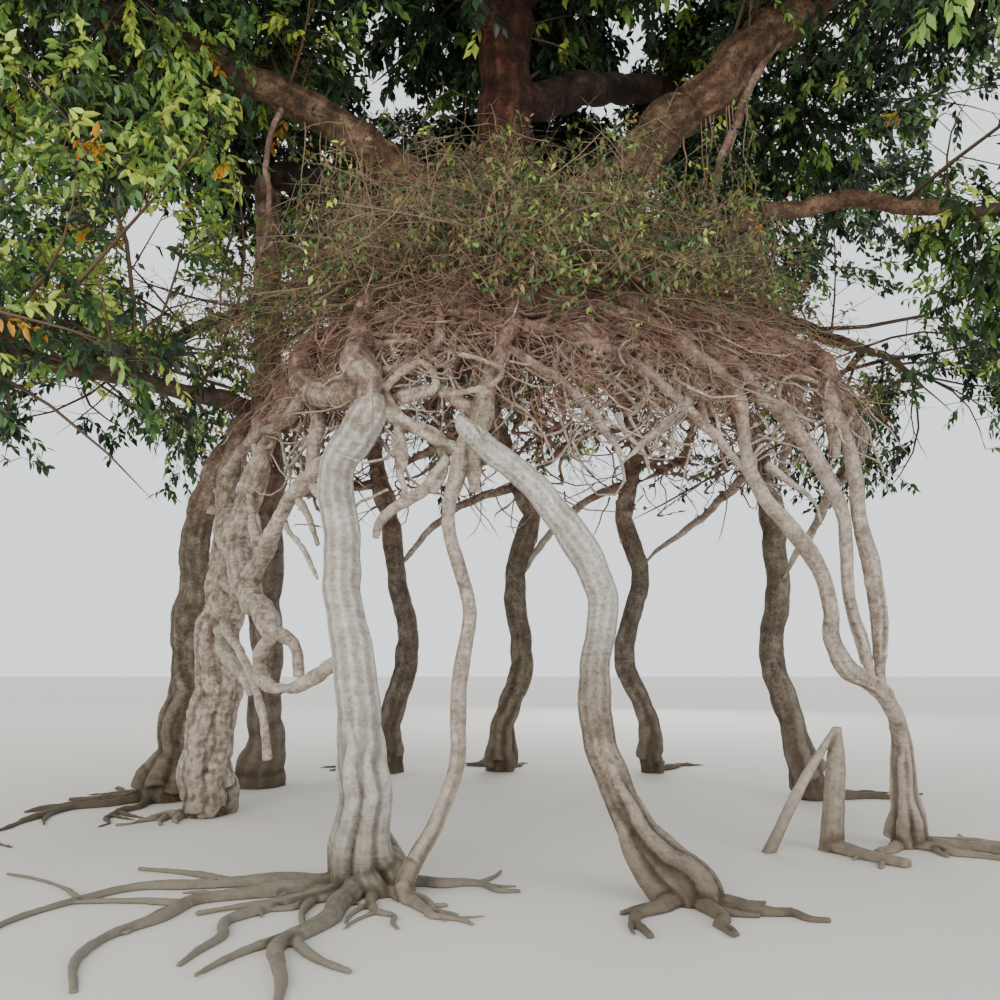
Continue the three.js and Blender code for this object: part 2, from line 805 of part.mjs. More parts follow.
function touchesLimb(a, b, width) {
  const line = new THREE.Line3(a, b);
  const nearest = vec(0, 0, 0);
  return limbPoints.some(({ point, radius }) => {
    line.closestPointToPoint(point, true, nearest);
    return nearest.distanceTo(point) < radius + width + MASS_RULE.margin;
  });
}

// Even directions over a sphere, turned by the seed.
function spread(count, turn) {
  return Array.from({ length: count }, (_, i) => {
    const z = 1 - (2 * i + 1) / count;
    const angle = i * Math.PI * (3 - Math.sqrt(5)) + turn;
    return vec(Math.sqrt(1 - z * z) * Math.cos(angle), Math.sqrt(1 - z * z) * Math.sin(angle), z);
  });
}

// A straight twig with three sides, from a to b.
function twig(a, b, from, to) {
  const along = b.clone().sub(a);
  const geometry = new THREE.CylinderGeometry(to, from, along.length(), 3, 1);
  geometry.translate(0, along.length() / 2, 0);
  geometry.applyQuaternion(
    new THREE.Quaternion().setFromUnitVectors(vec(0, 1, 0), along.normalize()),
  );
  geometry.translate(a.x, a.y, a.z);
  return solidOf(geometry);
}

// A flat leaf of eight faces, which stands for a spray, from its root along direction.
function leaf(root, direction, facing) {
  const { leafLength, leafWidth, leafThickness } = MASS_RULE;
  const across = direction.clone().cross(facing).normalize();
  const normal = across.clone().cross(direction).normalize();
  const geometry = new THREE.OctahedronGeometry(1);
  const middle = root.clone().addScaledVector(direction, leafLength / 2);
  geometry.applyMatrix4(
    new THREE.Matrix4()
      .makeBasis(
        direction.clone().multiplyScalar(leafLength / 2),
        normal.clone().multiplyScalar(leafThickness / 2),
        across.clone().multiplyScalar(leafWidth / 2),
      )
      .setPosition(middle),
  );
  const corners = [
    root.clone().addScaledVector(direction, leafLength),
    middle.clone().addScaledVector(across, leafWidth / 2),
    middle.clone().addScaledVector(across, -leafWidth / 2),
  ];
  return { geometry, corners };
}

// How far the mass's space reaches from a point in a direction.
function reachOf(index, from, direction) {
  const step = 100;
  let far = 0;
  while (inSpace(from.clone().addScaledVector(direction, far + step), index, MASS_RULE.margin)) {
    far += step;
  }
  return far;
}

// A leaf at a share of the way along a twig, turned until it fits, or nothing.
function leafOnTwig(index, root, end, share, k, random) {
  const way = end.clone().sub(root).normalize();
  const at = root.clone().lerp(end, share);
  const thick = THREE.MathUtils.lerp(...MASS_RULE.twigRadii, share);
  const onward = share > 0.9 ? 1.3 : 0.45;
  for (let turn = 0; turn < 6; turn++) {
    const angle = 2.4 * k + 1.05 * turn + random();
    const side = vec(Math.cos(angle), Math.sin(angle), -0.25 - 0.4 * random());
    const direction = way.clone().multiplyScalar(onward).addScaledVector(side, 0.8).normalize();
    const facing = vec(0.5 - random(), 0.5 - random(), 1.1).addScaledVector(way, 0.5);
    const from = at.clone().addScaledVector(direction, -0.7 * thick);
    const { geometry, corners } = leaf(from, direction, facing);
    const fits = corners.every((c) => inSpace(c, index, MASS_RULE.margin));
    if (fits && !touchesLimb(at, corners[0], MASS_RULE.leafWidth * 0.4)) return geometry;
  }
  return null;
}

// Twigs branch from the stem to the edge of the mass's space, with leaves along them.
function growMass(index) {
  const mass = MASSES[index];
  const random = seeded(101 + 17 * index);
  const bough = [...BOUGHS, { name: "trunk", rows: [
    [860, 2300, 8200, 165], [860, 2300, 8600, 165],
  ] }].find(
    (b) => b.name === mass.from,
  );
  const [x, y, z, radius] = bough.rows.at(-1);
  const tip = vec(x, y, z);
  const onTrunk = mass.from === "trunk";
  const start = tip.clone().add(onTrunk ? mass.centre.clone().sub(tip).setLength(90) : vec(0, 0, 0));
  const stemRadius = onTrunk ? radius * 0.42 : radius * 0.8;
  const middle = start.clone().lerp(mass.centre, 0.55).add(vec(0, 0, 120));
  const before = start.clone().sub(middle).setLength(onTrunk ? 60 : 20).add(start);
  const stations = [
    { point: before, radius: stemRadius },
    { point: middle, radius: stemRadius * 0.7 },
    { point: mass.centre, radius: stemRadius * 0.42 },
  ];
  const shape = { sides: 5, steps: 3 };
  const grown = [limb(stations, shape)];
  let twigs = 0;
  spread(2 * MASS_RULE.twigs, 6.28 * random()).forEach((way) => {
    const root = middle.clone().lerp(mass.centre, 0.4 + 0.6 * random());
    const end = root.clone().addScaledVector(way, Math.min(reachOf(index, root, way) - 350, 3300));
    end.z -= 0.06 * end.distanceTo(root);
    if (twigs === MASS_RULE.twigs || end.distanceTo(root) < 700 || !inSpace(end, index, 60)) return;
    if (touchesLimb(root.clone().lerp(end, 0.3), end, 45)) return;
    const leaves = MASS_RULE.leafShares.map((share, k) => leafOnTwig(index, root, end, share, k, random));
    const kept = leaves.filter((made) => made);
    if (kept.length < 2) return;
    twigs += 1;
    grown.push(twig(root.clone().addScaledVector(way, -30), end, ...MASS_RULE.twigRadii));
    grown.push(...kept.map((geometry) => solidOf(geometry)));
  });
  const plain = Manifold.union(grown).asOriginal().simplify(COARSE);
  const joined = largestBody(clearOfPlaced(plain));
  placed.push({ name: mass.name, solid: joined, guard: joined.add(limb(stations, shape, GAP)) });
  addMesh(mass.name, joined, mass.leaf, 0.6);
}

MASSES.forEach((_, index) => growMass(index));

// Thickets of dry twigs stand around the trunk's foot, over the dome. Each grows from a stem on the
// trunk, branches twice by a seeded rule, and keeps to its own quarter of the dome.
const THICKET = {
  twigs: 15,
  root: 200,
  hub: 800,
  rootHeight: 4760,
  hubHeight: 4700,
  reach: vec(1900, 1650, 1050),
  dome: vec(2420, 2330, 1620),
  lowest: 3350,
  highest: 5900,
  offset: 40,
};

function inThicket(point, sideX, sideY) {
  const { dome, lowest, highest, offset } = THICKET;
  const from = point.clone().sub(vec(TRUNK_AXIS.x, TRUNK_AXIS.y, HOLLOW.eaves));
  const beside = from.x * sideX > offset && from.y * sideY > offset;
  return beside && point.z > lowest && point.z < highest && from.divide(dome).lengthSq() > 1;
}

function growThicket(name, sideX, sideY, seed) {
  const random = seeded(seed);
  const { root, hub, rootHeight, hubHeight, reach } = THICKET;
  const foot = vec(TRUNK_AXIS.x + sideX * root, TRUNK_AXIS.y + sideY * root, rootHeight);
  const middle = vec(TRUNK_AXIS.x + sideX * hub, TRUNK_AXIS.y + sideY * hub, hubHeight);
  const grown = [
    limb([{ point: foot, radius: 60 }, { point: middle, radius: 42 }], { sides: 5, steps: 1 }),
  ];
  const keep = (a, b) =>
    inThicket(a, sideX, sideY) &&
    inThicket(b, sideX, sideY) &&
    inThicket(a.clone().lerp(b, 0.5), sideX, sideY) &&
    !touchesLimb(a.clone().lerp(b, 0.12), b, 14);
  spread(THICKET.twigs, seed).forEach((way) => {
    const end = middle.clone().addScaledVector(way.multiply(reach), 0.6 + 0.4 * random());
    if (!keep(middle, end)) return;
    grown.push(twig(middle, end, 20, 10));
    [0.55].forEach((share) => {
      const at = middle.clone().lerp(end, share);
      const turn = 6.28 * random();
      const side = vec(Math.cos(turn), Math.sin(turn), 0.7 - 1.4 * random());
      const tip = at.clone().addScaledVector(side, 520);
      if (keep(at, tip)) grown.push(twig(at, tip, 13, 8));
    });
  });
  const plain = Manifold.union(grown).asOriginal().simplify(COARSE);
  const joined = largestBody(clearOfPlaced(plain));
  placed.push({ name, solid: joined, guard: joined });
  addMesh(name, joined, BARK.twig, 0.9);
}

growThicket("thicket_front_left", -1, -1, 7);
growThicket("thicket_front_right", 1, -1, 11);
growThicket("thicket_back_left", -1, 1, 13);
growThicket("thicket_back_right", 1, 1, 17);

export default tree;
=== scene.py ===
# %% [markdown]
# # A banyan that stands on a hollow cage of its own roots
#
# A strangler fig sends thin roots down from high up, and they thicken until they stand alone. This
# tree stands on a cage of such roots, steep at the sides, domed on top and empty inside. Above it
# are a short trunk, a dozen boughs and a wide crown of small glossy leaves.
# The solids give every limb its place. This lesson dresses them: bark with relief on the limbs,
# and twigs and leaves that carry the crown's own growth rule down to small leaves.

# %% Open the frame
import math

import bpy
import numpy as np
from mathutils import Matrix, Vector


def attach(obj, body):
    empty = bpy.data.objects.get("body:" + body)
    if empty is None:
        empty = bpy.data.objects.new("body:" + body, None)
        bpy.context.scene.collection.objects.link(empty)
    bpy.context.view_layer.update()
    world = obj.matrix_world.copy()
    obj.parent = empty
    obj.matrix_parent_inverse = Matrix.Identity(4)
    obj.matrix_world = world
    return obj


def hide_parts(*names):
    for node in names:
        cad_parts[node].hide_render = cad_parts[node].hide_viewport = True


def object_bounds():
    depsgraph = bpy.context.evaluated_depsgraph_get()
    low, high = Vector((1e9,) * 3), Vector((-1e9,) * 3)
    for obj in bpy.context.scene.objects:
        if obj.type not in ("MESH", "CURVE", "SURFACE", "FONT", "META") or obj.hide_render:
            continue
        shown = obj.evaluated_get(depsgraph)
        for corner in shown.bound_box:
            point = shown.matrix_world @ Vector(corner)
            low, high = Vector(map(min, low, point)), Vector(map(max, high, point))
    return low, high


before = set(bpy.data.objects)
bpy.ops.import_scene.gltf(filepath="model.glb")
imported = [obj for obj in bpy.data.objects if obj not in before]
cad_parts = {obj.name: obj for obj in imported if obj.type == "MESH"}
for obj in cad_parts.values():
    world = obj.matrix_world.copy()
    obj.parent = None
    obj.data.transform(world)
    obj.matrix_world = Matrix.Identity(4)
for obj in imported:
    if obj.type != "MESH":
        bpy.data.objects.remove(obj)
cad_box = [[float(value) for value in corner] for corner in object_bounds()]
print("the solids reach from", cad_box[0], "to", cad_box[1])

# %% [markdown]
# ## Camera
#
# The camera stands at a grown person's chest height, 5.3 m in front of the main stem, and looks up
# a little, so the crown hangs over it. A constraint could aim it, but its place, tilt and lens are
# needed again as numbers, to tell which twigs stand in front of open sky.

# %% Camera
EYE = np.array([0.72, -5.33, 1.3])
LOOK_UP = math.radians(9.46)
PICTURE, SENSOR, LENS = 1000, 36, 32.4

scene = bpy.context.scene
bpy.ops.object.camera_add(location=EYE, rotation=(math.radians(90) + LOOK_UP, 0, 0))
camera = bpy.context.object
camera.data.sensor_width = SENSOR
camera.data.lens = LENS
camera.data.clip_end = 200
scene.camera = camera
print("the camera stands at", EYE)

# %% [markdown]
# ## Daylight
#
# Daylight under a crown comes from low down on all sides. A pale world gives that evenly. Wide
# soft lamps behind the camera light the roots, and one at the back keeps the far side from going
# black. A sun lamp would draw hard leaf shadows that a hazy day doesn't have.


# %% Sky and lamps
def linear(hex_colour):
    """A colour such as #8a7d72 as the linear red, green, blue and alpha that Blender mixes."""
    value = hex_colour.lstrip("#")
    channels = [int(value[i : i + 2], 16) / 255 for i in (0, 2, 4)]
    bent = [c / 12.92 if c <= 0.04045 else ((c + 0.055) / 1.055) ** 2.4 for c in channels]
    return (*bent, 1.0)


world = bpy.data.worlds.new("pale_sky")
world.use_nodes = True
sky = world.node_tree.nodes["Background"]
sky.inputs["Color"].default_value = linear("#f4f8fb")
sky.inputs["Strength"].default_value = 1.5
scene.world = world


def soft_lamp(name, location, aim, size, watts, colour):
    """A round lamp that faces its aim."""
    bpy.ops.object.light_add(type="AREA", location=location)
    lamp = bpy.context.object
    lamp.name = name
    lamp.data.shape = "DISK"
    lamp.data.size = size
    lamp.data.energy = watts
    lamp.data.color = linear(colour)[:3]
    across, back, up = np.array(aim) - np.array(location)
    tilt = math.atan2(math.hypot(across, back), -up)
    lamp.rotation_euler = (tilt, 0, math.atan2(-across, back))
    print(name, watts, "W")


soft_lamp("front_light", (-5, -12, 4.2), (0.5, 1, 2.5), 7, 1100, "#fff8ef")
soft_lamp("right_light", (10, -8, 3.8), (1, 1, 2.5), 6, 500, "#f3f7ff")
soft_lamp("back_light", (4, 15, 6.0), (1, 2, 4), 8, 700, "#f8fbff")

# %% [markdown]
# ## The floor
#
# A wide plane takes the tree's shadow. It is no part of the tree, so it is staged. Its colour comes
# from a helper for materials of one colour, which twigs and leaves use again: what grain they have
# is finer than a millimetre and doesn't show.


# %% Floor
def plain(name, colour, roughness, ior=1.5):
    """A material of one colour."""
    material = bpy.data.materials.new(name)
    material.use_nodes = True
    shader = material.node_tree.nodes["Principled BSDF"]
    shader.inputs["Base Color"].default_value = linear(colour)
    shader.inputs["Roughness"].default_value = roughness
    shader.inputs["IOR"].default_value = ior
    return material


bpy.ops.mesh.primitive_plane_add(size=80, location=(0, 0, -0.004))
floor = bpy.context.object
floor.name = "floor"
# Matt pale paint: it gives a soft shadow and no mirror image.
floor.data.materials.append(plain("pale_floor", "#d9d4cb", 0.9))
print("the floor lies 4 mm below the cut feet")

# %% [markdown]
# ## The hollow that the roots follow
#
# Every root lies close to one rounded shape, so the natural way to place one is by its compass
# direction, how far it has climbed, and how far it stands off. These are the source's own numbers,
# in metres: five flat sides with rounded corners, eaves at 2.7 m and a low dome above them.

# %% The hollow's surface
CENTRE = np.array([0.8, 2.3])
# The compass direction of each flat side, in degrees from +X, and its distance from the centre.
SIDES = [(-78, 2.2), (8, 2.35), (92, 2.1), (172, 2.75), (-149, 2.09)]
ROUNDNESS = 7
EAVES = 2.7
DOME_RISE = 1.45
DOME_ARC = 3.0


def hollow_radius(azimuth):
    total = 0
    for side, distance in SIDES:
        facing = np.maximum(0, np.cos(np.radians(azimuth - side)))
        total = total + (facing / distance) ** ROUNDNESS
    return total ** (-1 / ROUNDNESS)


def on_hollow(azimuth, climb, stand_off):
    """Places on the hollow: up to the eaves a climb is a height, and beyond them an arc."""
    azimuth, climb, stand_off = np.broadcast_arrays(azimuth, climb, stand_off)
    arc = np.maximum(0, climb - EAVES) / DOME_ARC * math.pi / 2
    out = (hollow_radius(azimuth) + stand_off) * np.cos(arc)
    height = np.minimum(climb, EAVES) + (DOME_RISE + stand_off) * np.sin(arc)
    turn = np.radians(azimuth)
    across = CENTRE[0] + out * np.cos(turn)
    back = CENTRE[1] + out * np.sin(turn)
    return np.stack([across, back, height], axis=-1)


def climbing(rows):
    """Rows of azimuth in degrees, climb, stand-off and radius in metres, as rows of x, y, z, r."""
    rows = np.array(rows, float)
    return np.column_stack([on_hollow(rows[:, 0], rows[:, 1], rows[:, 2]), rows[:, 3]])


print("the hollow is", round(float(hollow_radius(8) + hollow_radius(188)), 2), "m across")

# %% [markdown]
# ## Limbs as bundles of strands
#
# A fig's root is rarely one clean cylinder. Younger roots run down an older one and fuse with it,
# which leaves long ridges. So a limb is a smooth path through its stations, and round it go
# strands that wander and twist. Curves placed by hand could do this for one root. A rule does it
# for all of them, and the voxel remesh further down melts each bundle into one skin.
# First come the path, a curve through rows of x, y, z and radius, and the frame that travels along
# it. The frame turns as little as it can, so that a tube round it has no twist of its own.


# %% Smooth paths
def smooth_path(rows, spacing):
    """A smooth curve through rows of x, y, z and radius, sampled about every spacing metres."""
    rows = np.array(rows, float)
    gaps = np.linalg.norm(np.diff(rows[:, :3], axis=0), axis=1)
    knots = np.concatenate([[0], np.cumsum(gaps)])
    slopes = np.gradient(rows, knots, axis=0)
    at = np.linspace(0, knots[-1], max(3, int(knots[-1] / spacing) + 1))
    k = np.clip(np.searchsorted(knots, at, side="right") - 1, 0, len(rows) - 2)
    t = ((at - knots[k]) / gaps[k])[:, None]
    width = gaps[k][:, None]
    start = (2 * t**3 - 3 * t**2 + 1) * rows[k] + (t**3 - 2 * t**2 + t) * width * slopes[k]
    end = (3 * t**2 - 2 * t**3) * rows[k + 1] + (t**3 - t**2) * width * slopes[k + 1]
    made = start + end
    made[:, 3] = np.maximum(made[:, 3], 0.003)
    return made


def frames_along(points):
    """A tangent and two square directions at each point, turned as little as possible."""
    tangents = np.gradient(points, axis=0)
    tangents /= np.linalg.norm(tangents, axis=1)[:, None]
    normal = np.cross(tangents[0], [0.31, 0.52, 0.8])
    normals = []
    for tangent in tangents:
        normal = normal - tangent * np.dot(normal, tangent)
        normal /= np.linalg.norm(normal)
        normals.append(normal)
    normals = np.array(normals)
    return tangents, normals, np.cross(tangents, normals)


print("a path has a place and a radius every few centimetres")

# %% [markdown]
# ## Tubes
#
# A curve object with a bevel would make a tube too, but only one at a time, with a datablock each.
# Hundreds go into one skin, so a tube here is plain arrays: rings of corners, two triangles
# between each pair of corners, and a fan over both ends that closes it for the remesh.


# %% A tube along a path
def tube(path, sides=8):
    """Vertices and triangles of a closed tube along a path of x, y, z and radius."""
    points, radii = path[:, :3], path[:, 3]
    _, normals, sideways = frames_along(points)
    angles = np.arange(sides) * 2 * math.pi / sides
    cosines, sines = np.cos(angles)[None, :, None], np.sin(angles)[None, :, None]
    turned = cosines * normals[:, None] + sines * sideways[:, None]
    rings = points[:, None] + radii[:, None, None] * turned
    vertices = np.vstack([rings.reshape(-1, 3), points[:1], points[-1:]])
    count = len(points)
    i = np.repeat(np.arange(count - 1), sides) * sides
    j = np.tile(np.arange(sides), count - 1)
    a, b = i + j, i + (j + 1) % sides
    lower, upper = np.column_stack([a, b, b + sides]), np.column_stack([a, b + sides, a + sides])
    round_it = np.vstack([lower, upper])
    j = np.arange(sides)
    first = np.column_stack([np.full(sides, count * sides), (j + 1) % sides, j])
    top = (count - 1) * sides
    last = np.column_stack([np.full(sides, count * sides + 1), top + j, top + (j + 1) % sides])
    return vertices, np.vstack([round_it, first, last])


def joined(parts):
    """Vertices and triangles of several tubes as one pair of arrays."""
    offsets = np.cumsum([0] + [len(vertices) for vertices, _ in parts[:-1]])
    vertices = np.vstack([vertices for vertices, _ in parts])
    return vertices, np.vstack([faces + offset for (_, faces), offset in zip(parts, offsets)])


sample = tube(smooth_path([(0, 0, 0, 0.1), (0, 0, 1, 0.1)], 0.1))
print("a straight metre of root has", len(sample[1]), "triangles")

# %% [markdown]
# ## Strands and wander
#
# Three sine waves of different lengths, added up, give a wander that never looks regular. It bends
# a limb to the side and swells it, and it steers the strands as they twist round the limb. Each
# strand is sunk into the limb's side and fades towards its end, as a fused root does.


# %% Wandering limbs and their strands
def distance_along(points):
    steps = np.linalg.norm(np.diff(points, axis=0), axis=1)
    return np.concatenate([[0], np.cumsum(steps)])


def wave(along, seed, length):
    """A slow wander between about -1 and 1 along a limb."""
    draw = np.random.default_rng(seed)
    phases, scale = draw.uniform(0, 6.28, 3), draw.uniform(0.8, 1.2, 3)
    parts = zip((1, 0.5, 0.27), scale, phases)
    return sum(n * np.sin(along * 6.28 / (length * s * n) + p) for n, s, p in parts) / 1.77


def strands(path, count, share, seed, start=0.0, stop=1.0, twist=0.35, proud=0.02):
    """Strands along a limb, sunk into its side, between two shares of its length."""
    draw = np.random.default_rng(seed)
    made = []
    _, normals, sideways = frames_along(path[:, :3])
    along = distance_along(path[:, :3])
    for k in range(count):
        low = start + (stop - start) * draw.uniform(0, 0.1)
        high = stop - (stop - start) * draw.uniform(0, 0.3)
        keep = (along >= low * along[-1]) & (along <= high * along[-1])
        if keep.sum() < 4:
            continue
        turn = 6.28 * k / count + draw.uniform(-0.35, 0.35) + twist * along * draw.uniform(-1, 1)
        turn = turn + 0.35 * wave(along, seed * 31 + k, 1.1)
        fade = np.clip((along[-1] * high - along) / (0.4 * along[-1] * (high - low)), 0, 1)
        thick = path[:, 3] * share * draw.uniform(0.7, 1.1) * (0.5 + 0.5 * fade)
        out = path[:, 3] * (1 + proud - share) * (0.8 + 0.2 * fade)
        outward = np.cos(turn)[:, None] * normals + np.sin(turn)[:, None] * sideways
        centre = path[:, :3] + out[:, None] * outward
        made.append(np.column_stack([centre, thick])[keep])
    return made


def wander(path, seed, amount):
    """The same path, swaying by a share of its radius and swelling a little."""
    along = distance_along(path[:, :3])
    _, normals, sideways = frames_along(path[:, :3])
    bent = path.copy()
    for offset, direction in ((0, normals), (7, sideways)):
        bent[:, :3] += direction * (amount * path[:, 3] * wave(along, seed + offset, 0.9))[:, None]
    bent[:, 3] *= 1 + 0.05 * wave(along, seed + 13, 0.9)
    return bent


print("a wave wanders between", wave(np.linspace(0, 9, 90), 1, 1).min(), "and about 1")

# %% [markdown]
# ## The root stems
#
# Root stems stand round the hollow, and one more behind it. The rows are the source's: compass
# direction, climb, stand-off and radius. Each stem also says which strands it has, as a count, a
# share of its radius and the stretch that they cover, and which roots leave its foot, as a
# direction, a length, a radius and a bend. The pale main stem is fluted at the foot and smooth
# above. At the front there are three, one of them thin.

# %% Where the front stems run
STEMS = {
    "main_stem": dict(
        rows=[(250.9, -0.1, 0.1, 0.24), (250.9, 0, 0.1, 0.235), (251.3, 0.3, 0.165, 0.176),
            (251, 0.62, 0.195, 0.156), (250, 1.02, 0.2, 0.142), (248.8, 1.36, 0.2, 0.132),
            (247.5, 1.65, 0.2, 0.122), (246.8, 1.94, 0.2, 0.116), (245.7, 2.24, 0.2, 0.118),
            (247, 2.42, 0.2, 0.12), (248.5, 2.54, 0.19, 0.124), (249.7, 2.68, 0.17, 0.12),
            (250, 2.84, 0.1, 0.08)],
        strands=[(6, 0.4, 0.0, 0.42), (1, 0.2, 0.3, 1.0)],
        roots=[(256, 1.7, 0.068, 8), (220, 1.4, 0.052, 26), (190, 1.8, 0.06, 52),
            (168, 2.0, 0.052, 44), (318, 0.85, 0.05, -10), (12, 0.85, 0.052, -20),
            (240, 0.7, 0.045, -20), (280, 0.8, 0.04, 12), (205, 1.0, 0.04, -18)],
    ),
    "thin_front_stem": dict(
        rows=[(257, -0.1, 0.3, 0.066), (257, 0, 0.3, 0.066), (260, 0.35, 0.19, 0.052),
            (262.2, 0.68, 0.1, 0.055), (262.6, 1.12, 0.085, 0.05), (263.6, 1.56, 0.08, 0.046),
            (260.8, 2.08, 0.08, 0.044), (262.5, 2.48, 0.085, 0.048)],
        strands=[(3, 0.62, 0.0, 1.0)],
        roots=[(300, 0.6, 0.04, 10)],
    ),
    "bent_front_stem": dict(
        rows=[(289.5, -0.1, 0.56, 0.18), (289.5, 0, 0.56, 0.178), (286.6, 0.19, 0.45, 0.144),
            (283, 0.48, 0.35, 0.125), (281.3, 0.82, 0.25, 0.111), (281.7, 1.26, 0.18, 0.1),
            (282.4, 1.66, 0.165, 0.101), (278.6, 1.99, 0.16, 0.104), (271, 2.32, 0.15, 0.086),
            (264.6, 2.55, 0.135, 0.072), (262.6, 2.66, 0.06, 0.05)],
        strands=[(5, 0.34, 0.0, 0.32)],
        roots=[(320, 0.7, 0.06, 10), (285, 0.6, 0.055, -10), (215, 0.7, 0.06, 25)],
    ),
}
print("front stems:", ", ".join(STEMS))

# %% [markdown]
# ## The stems at the right and the left
#
# At the right a stem forks at 1.1 m into an inner and an outer one, so each of the three has rows
# of its own. At the left stand a dark stem and a pale one, bundles of strands all the way up. The
# pale one also has side limbs, which loop between the eaves and the ground and join the front.

# %% Where the side stems run
STEMS |= {
    "right_front_stem": dict(
        rows=[(334.8, -0.1, 0.19, 0.146), (334.8, 0, 0.19, 0.142), (332.4, 0.37, 0.18, 0.088),
            (329.6, 0.74, 0.16, 0.068), (326.5, 0.9, 0.15, 0.066), (322.4, 1.08, 0.142, 0.068),
            (318.2, 1.19, 0.136, 0.066), (316.4, 1.34, 0.132, 0.058), (316.4, 1.62, 0.13, 0.051),
            (315.2, 1.83, 0.127, 0.056), (312, 2.05, 0.122, 0.058), (308.2, 2.24, 0.12, 0.054),
            (306.4, 2.49, 0.11, 0.048), (306, 2.74, 0.105, 0.046), (306, 2.96, 0.1, 0.05)],
        strands=[(5, 0.42, 0.0, 0.4), (3, 0.34, 0.3, 1.0)],
        roots=[(340, 1.0, 0.058, -16), (300, 0.7, 0.048, 18), (225, 0.8, 0.05, 12),
            (10, 0.8, 0.05, -10)],
    ),
    "right_inner_stem": dict(
        rows=[(321.4, 1.13, 0.15, 0.046), (320.4, 1.32, 0.165, 0.047), (318.8, 1.64, 0.16, 0.042),
            (318.9, 1.96, 0.15, 0.047), (318.7, 2.23, 0.14, 0.053), (317.4, 2.4, 0.13, 0.056),
            (314.6, 2.61, 0.12, 0.054), (310.8, 2.9, 0.112, 0.052)],
        strands=[(3, 0.5, 0.0, 1.0)],
        roots=[],
    ),
    "right_outer_stem": dict(
        rows=[(323.4, 1.06, 0.15, 0.052), (322.7, 1.28, 0.19, 0.055), (322, 1.6, 0.205, 0.062),
            (321.4, 1.9, 0.195, 0.063), (320.9, 2.12, 0.178, 0.058), (321, 2.44, 0.15, 0.054),
            (320.4, 2.68, 0.132, 0.054), (318.9, 2.88, 0.122, 0.058)],
        strands=[(4, 0.42, 0.0, 1.0)],
        roots=[],
    ),
    "left_outer_stem": dict(
        rows=[(168, -0.1, 0.6, 0.3), (168, 0, 0.6, 0.29), (168.8, 0.34, 0.47, 0.21),
            (169.6, 0.9, 0.4, 0.176), (170.2, 1.6, 0.38, 0.162), (171.2, 2.35, 0.36, 0.142),
            (172.2, 2.8, 0.26, 0.116)],
        strands=[(8, 0.36, 0.0, 1.0)],
        roots=[(200, 1.1, 0.075, 20), (222, 2.0, 0.048, 38), (262, 1.3, 0.042, 8),
            (150, 0.9, 0.06, -12)],
    ),
    "left_inner_stem": dict(
        rows=[(182, -0.1, 0.17, 0.255), (182, 0, 0.17, 0.25), (184, 0.5, 0.15, 0.208),
            (186, 0.95, 0.15, 0.198), (190, 1.46, 0.14, 0.178), (196, 1.85, 0.12, 0.15),
            (204, 2.3, 0.11, 0.112), (211, 2.65, 0.1, 0.088)],
        strands=[(9, 0.42, 0.0, 1.0)],
        roots=[(215, 0.7, 0.055, 12)],
        limbs=[
            [(187, 2.4, 0.12, 0.08), (193.9, 2.2, 0.13, 0.1), (205.4, 1.97, 0.14, 0.105),
             (216, 1.7, 0.16, 0.09), (223.6, 1.54, 0.17, 0.076), (229, 1.42, 0.18, 0.06)],
            [(190, 1.5, 0.15, 0.11), (187.5, 2.05, 0.15, 0.096), (185, 2.64, 0.14, 0.088)],
            [(183.5, 2.55, 0.15, 0.05), (186.5, 2.4, 0.16, 0.062), (190.5, 2.14, 0.17, 0.05)],
            [(192, 1.5, 0.2, 0.06), (202.6, 1.27, 0.19, 0.044), (210.4, 1.15, 0.17, 0.038),
             (219, 1.02, 0.15, 0.03)],
            [(219.5, 2.02, 0.17, 0.05), (213.6, 2.3, 0.15, 0.036), (206.3, 2.48, 0.12, 0.03)],
            [(196, 1.82, 0.12, 0.09), (214, 1.64, 0.15, 0.062), (228, 1.42, 0.18, 0.052),
             (224, 1.23, 0.18, 0.046), (236, 1.06, 0.19, 0.042), (244.5, 1.19, 0.16, 0.038),
             (247.3, 1.27, 0.17, 0.034)],
            [(200, 1.9, 0.11, 0.085), (214, 1.82, 0.14, 0.07), (224, 1.98, 0.16, 0.06),
             (232, 2.2, 0.16, 0.056), (241, 2.41, 0.15, 0.058), (246, 2.5, 0.15, 0.06)],
        ],
    ),
}
print(len(STEMS), "stems so far")

# %% [markdown]
# ## The stems at the back
#
# Four plainer stems carry the far side of the dome. No side limbs are drawn between them: from the
# front they are slim dark posts seen through the hollow.

